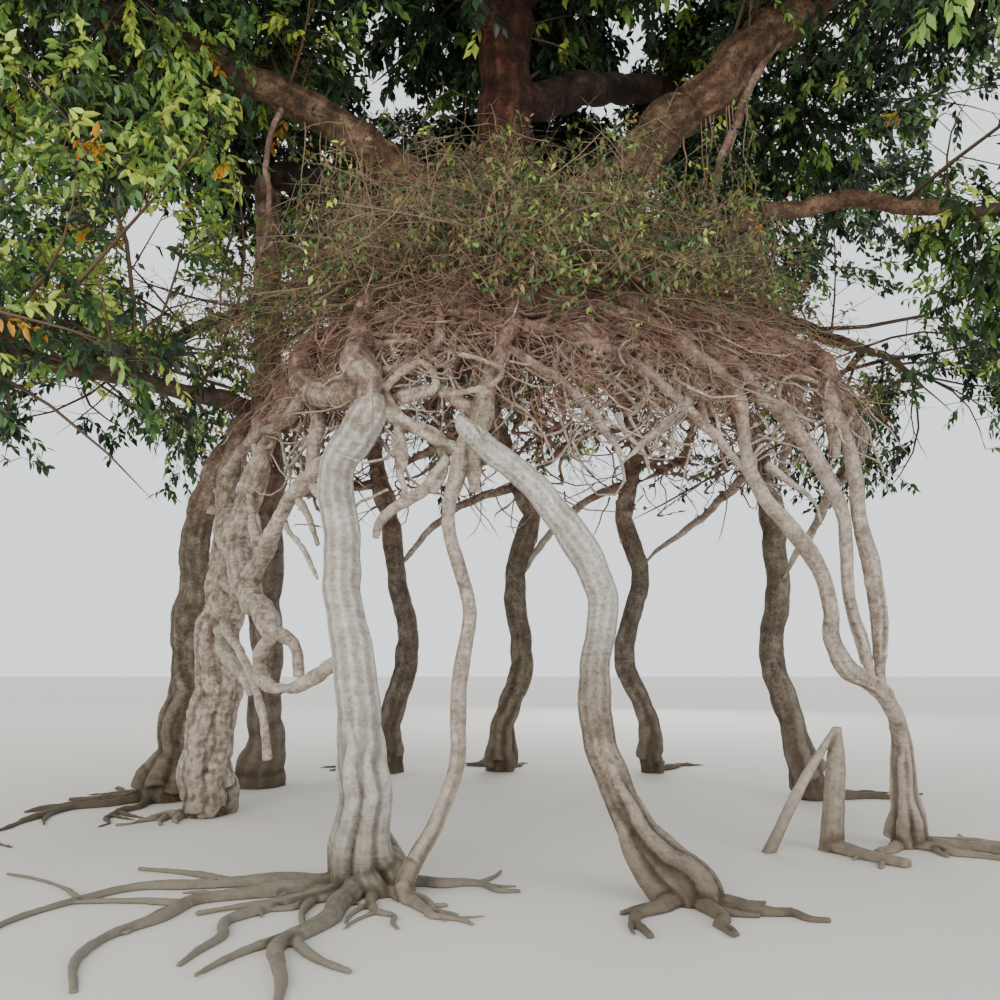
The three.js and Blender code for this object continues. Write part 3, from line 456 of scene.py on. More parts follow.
# %% Where the back stems run
STEMS |= {
    "back_stem_left": dict(
        rows=[(118, -0.1, 0.42, 0.19), (118, 0, 0.42, 0.19), (119, 0.5, 0.26, 0.14),
            (116, 1.3, 0.15, 0.124), (119, 2.1, 0.13, 0.112), (121, 2.75, 0.11, 0.092)],
        strands=[(5, 0.42, 0.0, 1.0)],
        roots=[(100, 0.9, 0.055, 14), (140, 1.0, 0.055, -12)],
    ),
    "back_stem_middle": dict(
        rows=[(92, -0.1, 0.52, 0.22), (92, 0, 0.52, 0.22), (91, 0.45, 0.33, 0.16),
            (86, 1.2, 0.17, 0.138), (88, 2.0, 0.14, 0.128), (83, 2.75, 0.12, 0.104)],
        strands=[(6, 0.42, 0.0, 1.0)],
        roots=[(110, 1.1, 0.062, -14), (75, 1.0, 0.06, 12), (50, 0.7, 0.045, 16)],
    ),
    "back_stem_right": dict(
        rows=[(58, -0.1, 0.42, 0.18), (58, 0, 0.42, 0.18), (57, 0.5, 0.25, 0.132),
            (61, 1.25, 0.15, 0.118), (57, 2.05, 0.13, 0.108), (60, 2.75, 0.11, 0.09)],
        strands=[(5, 0.42, 0.0, 1.0)],
        roots=[(40, 1.0, 0.055, 14), (80, 0.9, 0.05, -12)],
    ),
    "right_stem": dict(
        rows=[(14, -0.1, 0.42, 0.2), (14, 0, 0.42, 0.2), (13, 0.48, 0.27, 0.142),
            (17, 1.25, 0.15, 0.124), (12, 2.0, 0.135, 0.116), (15, 2.75, 0.115, 0.096)],
        strands=[(5, 0.42, 0.0, 1.0)],
        roots=[(0, 1.1, 0.06, 14), (35, 0.9, 0.052, -12)],
    ),
}
print(len(STEMS), "root stems on the hollow")

# %% [markdown]
# ## The shoulders over the dome
#
# From the top of each stem a root runs on over the dome to the trunk's foot and sends side roots
# across to its neighbours. The first list of each shoulder is its main root. The rows are the
# source's, apart from the far ends of the side roots at the back, which run on into the stems.

# %% Where the shoulder roots run
SHOULDERS = {
    "front_left_shoulder": [
        [(249.8, 2.92, 0.15, 0.1), (246.6, 3.2, 0.14, 0.092), (243, 3.6, 0.12, 0.084),
         (236, 4.4, 0.11, 0.08), (236, 5.05, 0.1, 0.088)],
        [(248.6, 2.86, 0.14, 0.09), (238, 2.96, 0.14, 0.1), (229, 3.35, 0.13, 0.098),
         (222, 4, 0.12, 0.084), (226, 4.7, 0.11, 0.07)],
        [(250.4, 2.78, 0.13, 0.06), (254.5, 2.66, 0.09, 0.046), (259, 2.56, 0.08, 0.044),
         (262.5, 2.42, 0.08, 0.04)],
        [(247, 3, 0.12, 0.06), (253, 3.08, 0.08, 0.046), (258, 3.3, 0.08, 0.042),
         (257, 3.7, 0.08, 0.036), (250, 4.2, 0.09, 0.04)],
        [(229, 3.3, 0.11, 0.07), (220, 2.95, 0.09, 0.052), (212, 2.7, 0.09, 0.046)],
    ],
    "front_right_shoulder": [
        [(264.5, 2.54, 0.11, 0.064), (266, 2.9, 0.09, 0.058), (270, 3.5, 0.09, 0.056),
         (266, 4.3, 0.095, 0.062), (262, 5, 0.1, 0.072)],
        [(265, 2.7, 0.09, 0.046), (258, 2.9, 0.07, 0.038), (252, 2.82, 0.07, 0.036),
         (249, 2.7, 0.08, 0.034)],
        [(268, 3.3, 0.08, 0.044), (278, 3, 0.07, 0.038), (288.7, 2.44, 0.06, 0.03)],
        [(269, 3.6, 0.08, 0.046), (281, 3.5, 0.07, 0.04), (293, 3.15, 0.06, 0.036),
         (301.3, 2.7, 0.06, 0.032), (310, 2.24, 0.07, 0.032)],
        [(267, 4, 0.08, 0.046), (280, 4.1, 0.08, 0.04), (292, 3.9, 0.08, 0.038),
         (302, 3.5, 0.08, 0.036)],
    ],
    "right_front_shoulder": [
        [(306, 2.94, 0.1, 0.054), (302.5, 3.26, 0.1, 0.056), (296, 3.9, 0.1, 0.062),
         (296, 4.5, 0.1, 0.072), (300, 5.08, 0.1, 0.082)],
        [(303, 3.2, 0.09, 0.05), (297, 2.82, 0.06, 0.036), (291, 2.58, 0.055, 0.032),
         (287, 2.42, 0.05, 0.026)],
        [(299, 3.6, 0.1, 0.052), (306, 3.3, 0.095, 0.056), (310.8, 2.88, 0.112, 0.054)],
        [(297, 4.2, 0.09, 0.052), (314, 4, 0.09, 0.05), (326, 3.5, 0.09, 0.046),
         (333, 3, 0.09, 0.044)],
    ],
    "right_shoulder": [
        [(318.9, 2.86, 0.122, 0.06), (323, 3.35, 0.11, 0.066), (333, 3.9, 0.105, 0.072),
         (332, 4.5, 0.1, 0.076), (330, 5.08, 0.1, 0.084)],
        [(321, 3.1, 0.1, 0.056), (334, 2.85, 0.09, 0.05), (347, 2.5, 0.09, 0.044),
         (360, 2.15, 0.11, 0.038), (371.5, 1.9, 0.14, 0.032)],
        [(332, 3.7, 0.095, 0.054), (345, 3.5, 0.09, 0.05), (358, 3.15, 0.09, 0.046),
         (368, 2.85, 0.09, 0.042)],
    ],
    "right_back_shoulder": [
        [(15, 2.78, 0.11, 0.092), (12, 3.4, 0.105, 0.088), (8, 4.1, 0.1, 0.084),
         (6, 5.08, 0.1, 0.084)],
        [(12, 3.2, 0.095, 0.054), (26, 3, 0.09, 0.048), (40, 2.75, 0.09, 0.044),
         (52, 2.4, 0.1, 0.036), (58, 2.15, 0.13, 0.03)],
        [(9, 4, 0.095, 0.052), (28, 3.9, 0.09, 0.048), (44, 3.5, 0.09, 0.044),
         (56, 3.2, 0.09, 0.04)],
    ],
    "back_right_shoulder": [
        [(60, 2.78, 0.11, 0.088), (56, 3.4, 0.105, 0.084), (50, 4.2, 0.1, 0.082),
         (52, 5.08, 0.1, 0.084)],
        [(57, 3.2, 0.095, 0.052), (68, 3, 0.09, 0.046), (78, 2.55, 0.09, 0.04),
         (84, 2.25, 0.11, 0.036), (87.5, 2.0, 0.14, 0.03)],
        [(51, 4, 0.095, 0.052), (68, 3.8, 0.09, 0.046), (80, 3.4, 0.09, 0.042)],
    ],
    "back_middle_shoulder": [
        [(83, 2.78, 0.12, 0.1), (88, 3.4, 0.11, 0.092), (96, 4.2, 0.1, 0.086),
         (98, 5.08, 0.1, 0.086)],
        [(87, 3.2, 0.1, 0.056), (99, 3, 0.09, 0.048), (109, 2.7, 0.09, 0.042),
         (116, 2.35, 0.11, 0.036), (119.5, 2.1, 0.13, 0.03)],
        [(94, 4, 0.095, 0.054), (110, 3.8, 0.09, 0.048), (120, 3.4, 0.09, 0.042)],
    ],
    "back_left_shoulder": [
        [(121, 2.78, 0.11, 0.09), (126, 3.4, 0.105, 0.086), (132, 4.2, 0.1, 0.084),
         (140, 5.08, 0.1, 0.084)],
        [(124, 3.2, 0.095, 0.054), (138, 3.05, 0.09, 0.048), (152, 2.8, 0.09, 0.044),
         (164, 2.5, 0.2, 0.04), (171, 2.3, 0.34, 0.034)],
        [(131, 4, 0.095, 0.052), (148, 3.9, 0.09, 0.048), (162, 3.5, 0.09, 0.046),
         (172, 3.1, 0.11, 0.042)],
    ],
    "left_shoulder": [
        [(172.2, 2.82, 0.25, 0.112), (174, 3.3, 0.15, 0.1), (178, 4, 0.115, 0.092),
         (184, 5.06, 0.1, 0.088)],
        [(186, 2.65, 0.14, 0.084), (187, 3.15, 0.12, 0.082), (191, 3.8, 0.11, 0.078),
         (193, 4.5, 0.1, 0.072), (188, 5, 0.1, 0.07)],
        [(174, 3.2, 0.12, 0.06), (180, 3, 0.11, 0.056), (187, 2.85, 0.11, 0.052)],
        [(190, 3.5, 0.1, 0.056), (202, 3.2, 0.09, 0.05), (210, 2.8, 0.09, 0.052),
         (211, 2.6, 0.09, 0.054)],
        [(193, 4.1, 0.095, 0.052), (206, 3.8, 0.09, 0.048), (220, 3.3, 0.09, 0.044)],
    ],
}
print(len(SHOULDERS), "shoulders over the dome")

# %% [markdown]
# ## Roots between the stems
#
# Smaller roots tie the stems and shoulders at the front together: a forked web beside the main
# stem, a thick pale loop over the eaves, lumpy roots under it and a thin one curled like an S.

# %% Where the smaller front roots run
FRONT_ROOTS = [
    [(235.6, 2.24, 0.15, 0.028), (239.1, 2.1, 0.14, 0.022), (241.4, 1.93, 0.14, 0.016)],
    [(229.5, 2.2, 0.14, 0.03), (231.1, 2.1, 0.13, 0.024), (237.6, 1.9, 0.13, 0.02),
     (241.1, 1.72, 0.12, 0.014)],
    [(201, 2.52, 0.14, 0.03), (210, 2.34, 0.13, 0.024), (216.8, 2.17, 0.12, 0.024),
     (215.5, 1.96, 0.12, 0.03)],
    [(214, 3.06, 0.1, 0.022), (217.8, 2.99, 0.1, 0.018), (226, 2.72, 0.11, 0.015),
     (231.6, 2.42, 0.13, 0.013)],
    [(238.5, 2.66, 0.13, 0.018), (236.5, 2.59, 0.12, 0.015), (229, 2.47, 0.12, 0.011)],
    [(190, 1.58, 0.15, 0.05), (198, 1.45, 0.16, 0.036), (206.2, 1.34, 0.15, 0.032),
     (217.8, 1.1, 0.14, 0.03), (224, 0.9, 0.14, 0.034), (226, 0.6, 0.12, 0.03)],
    [(229, 1.45, 0.18, 0.052), (233, 1.4, 0.18, 0.046), (238, 1.3, 0.18, 0.04),
     (238.5, 1.14, 0.18, 0.036)],
    [(236, 2.96, 0.14, 0.06), (226, 2.86, 0.13, 0.042), (214.1, 2.89, 0.13, 0.036),
     (200, 2.86, 0.14, 0.038), (189.6, 2.75, 0.15, 0.042)],
    [(238.9, 2.88, 0.12, 0.056), (240.2, 2.66, 0.13, 0.054), (239.3, 2.5, 0.13, 0.046),
     (238.6, 2.37, 0.13, 0.04), (242, 2.2, 0.14, 0.03)],
    [(252, 2.88, 0.14, 0.036), (254.6, 3.0, 0.16, 0.032), (257.2, 3.07, 0.17, 0.03),
     (259.2, 2.98, 0.17, 0.028), (259.2, 2.87, 0.16, 0.026), (257, 2.82, 0.14, 0.026),
     (254.5, 2.8, 0.12, 0.026)],
    [(260, 3.2, 0.12, 0.018), (265.1, 3.12, 0.14, 0.018), (268.4, 3.02, 0.15, 0.018),
     (267.2, 2.92, 0.14, 0.018), (263.8, 2.86, 0.13, 0.018), (259.5, 2.84, 0.1, 0.016)],
    [(248.5, 3.0, 0.12, 0.04), (251.9, 2.86, 0.1, 0.034), (253.2, 2.72, 0.1, 0.034),
     (255.9, 2.62, 0.1, 0.034), (259.2, 2.53, 0.1, 0.036), (261.4, 2.5, 0.1, 0.034),
     (263, 2.4, 0.1, 0.036), (261.9, 2.27, 0.1, 0.036), (260.4, 2.12, 0.09, 0.034)],
    [(253.6, 2.66, 0.08, 0.024), (254.2, 2.5, 0.09, 0.046), (254.4, 2.41, 0.09, 0.044),
     (254, 2.32, 0.09, 0.028), (254.6, 2.25, 0.09, 0.022), (254.2, 2.14, 0.09, 0.016)],
    [(260.5, 2.44, 0.09, 0.026), (258.9, 2.34, 0.09, 0.03), (257.6, 2.24, 0.09, 0.035),
     (255.6, 2.18, 0.09, 0.036), (253.5, 2.13, 0.09, 0.035), (251.6, 2.05, 0.09, 0.032),
     (250.8, 1.95, 0.09, 0.022)],
    [(259.2, 2.53, 0.08, 0.03), (260.1, 2.43, 0.07, 0.026), (260, 2.33, 0.07, 0.024),
     (258.4, 2.22, 0.08, 0.03)],
    [(252.6, 2.24, 0.1, 0.012), (249.9, 2.19, 0.11, 0.009), (248.2, 2.16, 0.12, 0.009),
     (247.4, 2.08, 0.13, 0.008)],
    [(286.5, 2.78, 0.07, 0.026), (288.3, 2.62, 0.07, 0.022), (290.8, 2.51, 0.07, 0.018),
     (291.8, 2.37, 0.06, 0.012)],
    [(309, 2.46, 0.11, 0.03), (312.5, 2.36, 0.1, 0.022), (316, 2.24, 0.09, 0.016),
     (317, 2.1, 0.08, 0.012)],
]
print(len(FRONT_ROOTS), "smaller front roots")

# %% [markdown]
# ## Trunk, boughs and hanging roots
#
# The trunk stands on the dome's crown, and its foot runs out into the shoulders as ridges. Each
# bough is one tapering limb from inside the trunk to the tip where its foliage takes over.

# %% Where the trunk and the boughs run
TRUNK = [
    (0.8, 2.3, 4.12, 0.5), (0.8, 2.3, 4.33, 0.44), (0.8, 2.3, 4.7, 0.335), (0.78, 2.3, 5.5, 0.265),
    (0.77, 2.28, 6.6, 0.24), (0.82, 2.24, 7.7, 0.21), (0.86, 2.3, 8.6, 0.16),
]
BOUGHS = {
    "bough_right_high": [(0.8, 2.3, 4.65, 0.25), (1.71, 2.2, 5.43, 0.225), (2.66, 1.9, 6.26, 0.2),
        (3.38, 1.7, 6.85, 0.178), (4.3, 1.4, 7.35, 0.12)],
    "bough_left_high": [(0.8, 2.3, 4.75, 0.23), (-0.25, 2, 5.51, 0.172), (-0.84, 1.8, 5.86, 0.15),
        (-1.4, 1.6, 6.06, 0.134), (-2.3, 1.3, 6.45, 0.1)],
    "bough_right_low": [(0.8, 2.42, 4.42, 0.16), (2, 2.45, 5.06, 0.104),
        (2.55, 2.32, 5.07, 0.092), (3.9, 2.1, 5.23, 0.08), (4.7, 1.9, 5, 0.068)],
    "bough_left_low": [(-1.3, 1.95, 3.25, 0.09), (-1.75, 1.6, 3.33, 0.072),
        (-2.4, 1, 3.33, 0.062), (-2.85, 0.65, 3.4, 0.052)],
    "bough_back_left": [(0.8, 2.3, 5.35, 0.21), (-0.5, 3.05, 5.95, 0.17),
        (-1.8, 3.72, 6.35, 0.145), (-2.7, 4.3, 6.85, 0.105)],
    "bough_back_low_left": [(0.8, 2.3, 4.5, 0.16), (-0.7, 3.1, 5, 0.115), (-2, 4.15, 5.05, 0.095),
        (-3, 4.5, 4.8, 0.072)],
    "bough_back_low_right": [(0.8, 2.3, 4.9, 0.17), (2.1, 3.2, 5.1, 0.125), (3.4, 4, 5, 0.1),
        (4.5, 4.3, 4.7, 0.074)],
    "bough_back": [(0.8, 2.3, 5.8, 0.21), (0.9, 3.5, 6.7, 0.165), (0.95, 4.7, 7.15, 0.125),
        (0.95, 5.5, 7.25, 0.1)],
    "bough_back_right": [(0.8, 2.3, 6.3, 0.19), (2, 3.1, 7, 0.15), (3, 3.9, 7.4, 0.12),
        (3.7, 4.4, 7.55, 0.096)],
    "bough_front_right": [(0.82, 2.26, 7.25, 0.15), (1.7, 1.25, 7.7, 0.128),
        (2.5, 0.2, 7.95, 0.108), (3, -0.5, 8, 0.088)],
    "bough_front": [(0.84, 2.27, 7.65, 0.14), (0.77, 1.1, 8.1, 0.122), (0.65, -0.2, 8.4, 0.104),
        (0.6, -1.2, 8.5, 0.086)],
    "bough_front_left": [(0.8, 2.29, 6.95, 0.155), (-0.1, 1.35, 7.5, 0.13), (-1, 0.35, 7.8, 0.11),
        (-1.7, -0.4, 7.85, 0.09)],
}
PROP_STEM = [
    (-1.62, 3.8, -0.1, 0.27), (-1.62, 3.8, 0, 0.265), (-1.6, 3.78, 0.38, 0.2),
    (-1.65, 3.74, 2.2, 0.172), (-1.7, 3.7, 4.4, 0.15), (-1.74, 3.7, 5.3, 0.142),
    (-1.79, 3.715, 6.3, 0.135),
]
AERIAL_ROOTS = {
    "aerial_root_right": [(3.27, 1.74, 6.76, 0.046), (2.87, 1.83, 6.07, 0.042),
        (2.65, 2, 5.46, 0.04), (2.57, 2.3, 5.09, 0.042)],
    "aerial_root_middle": [(1.95, 2.12, 5.64, 0.03), (1.83, 1.75, 5.15, 0.024),
        (1.76, 1.6, 4.6, 0.02), (1.8, 1.52, 4.15, 0.016)],
    "aerial_root_left": [(-1.15, 1.69, 5.96, 0.03), (-1.22, 1.6, 5.3, 0.026),
        (-1.18, 1.56, 4.7, 0.022), (-1.23, 1.5, 4.25, 0.018)],
}
BROKEN_ROOTS = [
    [(2.9, 0.9, -0.04, 0.085), (2.95, 0.93, 0.3, 0.072), (2.99, 0.95, 0.6, 0.06),
     (3.005, 0.95, 0.79, 0.034)],
    [(2.46, 0.84, -0.03, 0.044), (2.74, 0.9, 0.43, 0.036), (2.985, 0.945, 0.765, 0.026)],
    [(2.9, 0.88, 0.03, 0.06), (3.05, 0.62, 0.012, 0.046), (3.2, 0.42, 0.01, 0.04)],
]
print(len(BOUGHS), "boughs")

# %% [markdown]
# ## A helper for nodes
#
# A material is a tree of nodes. One small helper adds any node with its settings, fills or links
# its inputs and sets the stops of a colour ramp, so that a recipe below reads from top to bottom.


# %% A helper for nodes
def add(tree, kind, inputs=None, stops=(), **settings):
    """Adds a node. An input takes an output, a hex colour or a number, and stops fill a ramp."""
    node = tree.nodes.new(kind)
    for name, value in settings.items():
        setattr(node, name, value)
    for name, value in (inputs or {}).items():
        if isinstance(value, bpy.types.NodeSocket):
            tree.links.new(value, node.inputs[name])
        else:
            node.inputs[name].default_value = linear(value) if isinstance(value, str) else value
    for _ in stops[2:]:
        node.color_ramp.elements.new(0.5)
    for k, (position, colour) in enumerate(stops):
        node.color_ramp.elements[k].position = position
        node.color_ramp.elements[k].color = linear(colour)
    return node


print("a node's inputs can be outputs, colours or numbers")

# %% [markdown]
# ## What marks fig bark
#
# Fig bark is thin and smooth. It is cloudy with lichen, ringed level where the root has swelled,
# grainy up close and dotted with corky scars. Moss shows in large soft patches. All of these are
# noises on Object coordinates, so they run on from one skin to the next. A scanned picture of bark
# would show more, but would smear on roots that fork and fuse.

# %% Patches, rings, grain, scars and moss
# How many of each fit in a metre: patches are about 150 mm wide, grain 24 mm, scars 60 mm and moss
# 430 mm, and rings are 330 mm long and 17 mm apart.
PATCHES, GRAIN, SCARS, MOSS, RINGS = 6.5, 42, 17, 2.3, (3, 3, 60)


def bark_marks(tree, place):
    """The five patterns of bark, each as one output."""
    level = add(tree, "ShaderNodeMapping", {"Vector": place, "Scale": RINGS}).outputs[0]
    settings = {
        "patches": {"Vector": place, "Scale": PATCHES, "Detail": 9, "Roughness": 0.72},
        "grain": {"Vector": place, "Scale": GRAIN, "Detail": 4, "Roughness": 0.65},
        "moss": {"Vector": place, "Scale": MOSS, "Detail": 4},
        "rings": {"Vector": level, "Scale": 1, "Detail": 3, "Distortion": 0.3},
    }
    marks = {}
    for name, inputs in settings.items():
        marks[name] = add(tree, "ShaderNodeTexNoise", inputs).outputs["Fac"]
    scars = add(tree, "ShaderNodeTexVoronoi", {"Vector": place, "Scale": SCARS, "Randomness": 1})
    marks["scars"] = scars.outputs["Distance"]
    return marks


print("rings", round(1000 / RINGS[2]), "mm apart and grain", round(1000 / GRAIN), "mm wide")

# %% [markdown]
# ## The bark recipe
#
# Each bark starts from three colours below some height and three above it, because soil splashes
# up a root's foot and sun bleaches its top. Over that go coats, each laid on by a share: rings,
# grain and scars darken it, soil stains the foot, moss greens it, and the crevices between strands
# get painted shade while the ridges are worn pale. The finish is matt, and a fine bump takes the
# shine off.


# %% The bark recipe
def bark(name, low, high, change, foot, foot_height, moss_share, mark_share=0.7):
    """Fig bark. Low and high are dark, middle and pale colours, below and above the change."""
    material = bpy.data.materials.new(name)
    material.use_nodes = True
    tree = material.node_tree
    place = add(tree, "ShaderNodeTexCoord").outputs["Object"]
    height = add(tree, "ShaderNodeSeparateXYZ", {"Vector": place}).outputs["Z"]
    # How far each corner stands out of the smoothed skin: worn ridges, and crevices for painted shade.
    wear_and_crevice_shade = add(tree, "ShaderNodeAttribute", attribute_name="wear_and_crevice_shade").outputs["Fac"]
    marks = bark_marks(tree, place)
    patches = marks["patches"]
    ragged = add(tree, "ShaderNodeMath", {0: patches, 1: -0.9, 2: height}, operation="MULTIPLY_ADD")
    ragged = ragged.outputs[0]

    # Each ramp's pattern, and its stops.
    ramps = {
        "below": (patches, [(0.34, low[0]), (0.5, low[1]), (0.66, low[2])]),
        "above": (patches, [(0.34, high[0]), (0.5, high[1]), (0.66, high[2])]),
        "ringed": (marks["rings"], [(0.36, "#a39b90"), (0.5, "#ffffff")]),
        "ring_share": (marks["moss"], [(0.44, "#000000"), (0.64, "#9a9a9a")]),
        "grainy": (marks["grain"], [(0.33, "#8a7f72"), (0.55, "#ffffff")]),
        "scarred": (marks["scars"], [(0.1, "#766b5e"), (0.24, "#ffffff")]),
        "mossy": (marks["moss"], [(0.5, "#000000"), (0.72, "#ffffff")]),
        # Painted shade: the crevices between strands darken, the worn ridges keep their colour.
        "worn_and_crevice_shaded": (wear_and_crevice_shade, [(0.15, "#43362e"), (0.42, "#b8afa6"), (0.56, "#ffffff")]),
    }
    made = {}
    for key, (pattern, stops) in ramps.items():
        made[key] = add(tree, "ShaderNodeValToRGB", {"Fac": pattern}, stops).outputs["Color"]

    # How far up something reaches: nothing at the first height and all of it at the second.
    reaches = {
        "rising": (ragged, change[0] - 0.45, change[1] - 0.45),
        "stain": (ragged, foot_height - 0.45, -0.5),
        "soil": (height, 0.3, 0.0),
    }
    for key, (value, start, stop) in reaches.items():
        inputs = {"Value": value, "From Min": start, "From Max": stop}
        made[key] = add(tree, "ShaderNodeMapRange", inputs).outputs[0]
    moss = add(tree, "ShaderNodeMath", {0: made["mossy"], 1: moss_share}, operation="MULTIPLY")

    # How each coat is laid on, its share and its colour, from the first to the last.
    coats = [
        ("MIX", made["rising"], made["above"]),
        ("MULTIPLY", made["ring_share"], made["ringed"]),
        ("MULTIPLY", mark_share, made["grainy"]),
        ("MULTIPLY", 0.5 * mark_share, made["scarred"]),
        ("MIX", made["stain"], foot),
        ("MIX", moss.outputs[0], "#6c7350"),
        ("MULTIPLY", made["soil"], "#cbc5bb"),
        # The last coat is the painted shade in the crevices between strands.
        ("MULTIPLY", 0.9, made["worn_and_crevice_shaded"]),
    ]
    base = made["below"]
    for kind, share, colour in coats:
        inputs = {0: share, 6: base, 7: colour}
        coat = add(tree, "ShaderNodeMix", inputs, data_type="RGBA", blend_type=kind)
        base = coat.outputs[2]

    bumps = add(tree, "ShaderNodeMath", {0: marks["rings"], 1: marks["grain"]}, operation="ADD")
    inputs = {"Height": bumps.outputs[0], "Strength": 0.6, "Distance": 0.012}
    relief = add(tree, "ShaderNodeBump", inputs)
    shader = tree.nodes["Principled BSDF"]
    tree.links.new(base, shader.inputs["Base Color"])
    tree.links.new(relief.outputs["Normal"], shader.inputs["Normal"])
    shader.inputs["Roughness"].default_value = 0.82
    shader.inputs["IOR"].default_value = 1.4
    return material


print("the bark recipe is ready")

# %% [markdown]
# ## Eight barks
#
# The main stem is almost white where it is dry and tan under the eaves. The bent stem is pale above
# and mottled brown at the foot. Roots over the dome turn reddish brown, and the trunk and boughs
# are a deep red brown. The near boughs' copy of that bark has painted daylight, lighter and more
# ochre, and the back boughs' copy has painted shade, darkest where the crown shades them.

# %% Bark colours
PALE = ("#b4b2a9", "#c8c6be", "#d6d4cc")
MOTTLED = ("#665c50", "#877c6f", "#aba091")
TAN = ("#8a7d72", "#b0a396", "#cbc0b4")
BROWN = ("#554b40", "#776b5f", "#968a7b")
RUSSET = ("#664f44", "#967769", "#b9a396")
DARK = ("#33281f", "#54443a", "#766254")
RED = ("#2e1a14", "#523126", "#7c5040")
# Painted daylight: the lighter ochre of the near boughs.
PAINTED_DAYLIGHT_OCHRE = ("#3a2a20", "#6b5240", "#9c8066")
# Painted shade: the darker brown of the back boughs.
SHADE = ("#1f1612", "#3a2a21", "#5c4939")

# Dry, smooth bark of the thick front stem, with few marks: it reads as nearly white.
pale_bark = bark("pale_fig_bark", PALE, TAN, (2.58, 2.78), "#8f8a7f", 1.0, 0.1, 0.4)
# The bent stem's bark, blotched brown where it stays damp and bleached above.
mottled_bark = bark("mottled_fig_bark", MOTTLED, PALE, (0.95, 1.6), "#7c7366", 0.5, 0.2, 0.55)
# Clean tan bark of younger stems, reddish where they pass over the eaves.
tan_bark = bark("tan_fig_bark", TAN, RUSSET, (2.5, 3.2), "#a0978b", 1.1, 0.18, 0.55)
# Old, dull brown bark of the thick stems at the left and the back, with the most moss.
brown_bark = bark("brown_fig_bark", BROWN, RUSSET, (2.3, 3.0), "#6f6456", 1.0, 0.3)
# Tan bark of the roots over the dome, rusty with dust and dry leaves higher up.
dome_bark = bark("dome_root_bark", TAN, RUSSET, (2.6, 3.3), "#948a7d", 0.6, 0.18)
# The trunk's red brown bark.
red_bark = bark("red_fig_bark", DARK, RED, (3.9, 4.8), "#4a3024", 0.6, 0.12)
# The near boughs' bark, painted lighter and more ochre for daylight that reaches under the crown.
painted_daylight_bough_bark = bark("painted_daylight_bough_fig_bark", DARK, PAINTED_DAYLIGHT_OCHRE, (3.9, 4.8), "#4a3024", 0.6, 0.12)
# The same bark darkened with painted shade for the back boughs, which stay dark against the leaves.
shade_bark = bark("shaded_bough_bark", DARK, SHADE, (3.9, 4.8), "#4a3024", 0.6, 0.12)
print("eight barks mixed")

# %% [markdown]
# ## Meshes and modifiers
#
# A mesh made from arrays is far quicker than one made face by face, so one helper writes the
# corners and triangles straight into a mesh. Another adds a modifier and applies it at once, as
# one does by hand. Cloud noise moves the skin: swellings about 300 mm long, knobs about 60 mm.


# %% Meshes and modifiers
def mesh_object(name, vertices, triangles):
    mesh = bpy.data.meshes.new(name)
    mesh.vertices.add(len(vertices))
    mesh.vertices.foreach_set("co", np.ascontiguousarray(vertices, dtype=np.float32).ravel())
    mesh.loops.add(len(triangles) * 3)
    corners = np.ascontiguousarray(triangles, dtype=np.int32).ravel()
    mesh.loops.foreach_set("vertex_index", corners)
    mesh.polygons.add(len(triangles))
    mesh.polygons.foreach_set("loop_start", np.arange(0, len(triangles) * 3, 3, dtype=np.int32))
    mesh.update(calc_edges=True)
    mesh.validate()
    piece = bpy.data.objects.new(name, mesh)
    scene.collection.objects.link(piece)
    return piece


def use(piece):
    """Makes the piece the only one that an operator acts on."""
    bpy.ops.object.select_all(action="DESELECT")
    piece.select_set(True)
    bpy.context.view_layer.objects.active = piece


def apply(piece, kind, **settings):
    modifier = piece.modifiers.new(kind.lower(), kind)
    for name, value in settings.items():
        setattr(modifier, name, value)
    bpy.ops.object.modifier_apply(modifier=modifier.name)


CLOUDS = {}
for cloud_name, cloud_size in (("swellings", 0.3), ("knobs", 0.06)):
    cloud = bpy.data.textures.new(cloud_name, "CLOUDS")
    cloud.noise_scale = cloud_size
    cloud.noise_depth = 2
    CLOUDS[cloud_name] = cloud
print("clouds:", ", ".join(CLOUDS))

# %% [markdown]
# ## Worn ridges and painted shade in crevices
#
# Rain and hands wear a root's ridges pale, and the crevices between strands lie in shade, which is
# painted into the bark here. Blender has a pointiness input for that, but it reads only the
# finished mesh in the final render. Here each corner is compared with a smoothed copy of the skin,
# and how far it stands out of that is stored on the mesh, where the bark recipe reads it and
# darkens the crevices with painted shade.


# %% Mark ridges and crevices
SMOOTHINGS = 9


def read(items, name, width, kind=np.float32):
    """One value of every vertex or edge, as rows."""
    values = np.empty(len(items) * width, dtype=kind)
    items.foreach_get(name, values)
    return values.reshape(-1, width)


def neighbour_mean(places, edges):
    """The middle of each vertex's neighbours."""
    count = len(places)
    degree = np.bincount(edges.ravel(), minlength=count)[:, None]
    total = np.zeros_like(places)
    for axis in range(3):
        for a, b in ((0, 1), (1, 0)):
            total[:, axis] += np.bincount(edges[:, a], places[edges[:, b], axis], minlength=count)
    return total / np.maximum(degree, 1)


def write_wear_and_crevice_shade(mesh, values):
    mesh.attributes.new("wear_and_crevice_shade", "FLOAT", "POINT").data.foreach_set("value", values)


def mark_wear_and_crevice_shade(piece, voxel):
    """Writes where the skin is a crevice for painted shade, near 0, or a worn ridge, near 1."""
    mesh = piece.data
    places, normals = read(mesh.vertices, "co", 3), read(mesh.vertices, "normal", 3)
    edges = read(mesh.edges, "vertices", 2, np.int32)
    smooth = places.astype(np.float64)
    for _ in range(SMOOTHINGS):
        smooth = neighbour_mean(smooth, edges)
    proud = ((places - smooth) * normals).sum(1)
    wear_and_crevice_shade = np.clip(0.5 + 0.35 * (proud - np.median(proud)) / voxel, 0, 1)
    write_wear_and_crevice_shade(mesh, wear_and_crevice_shade.astype(np.float32))


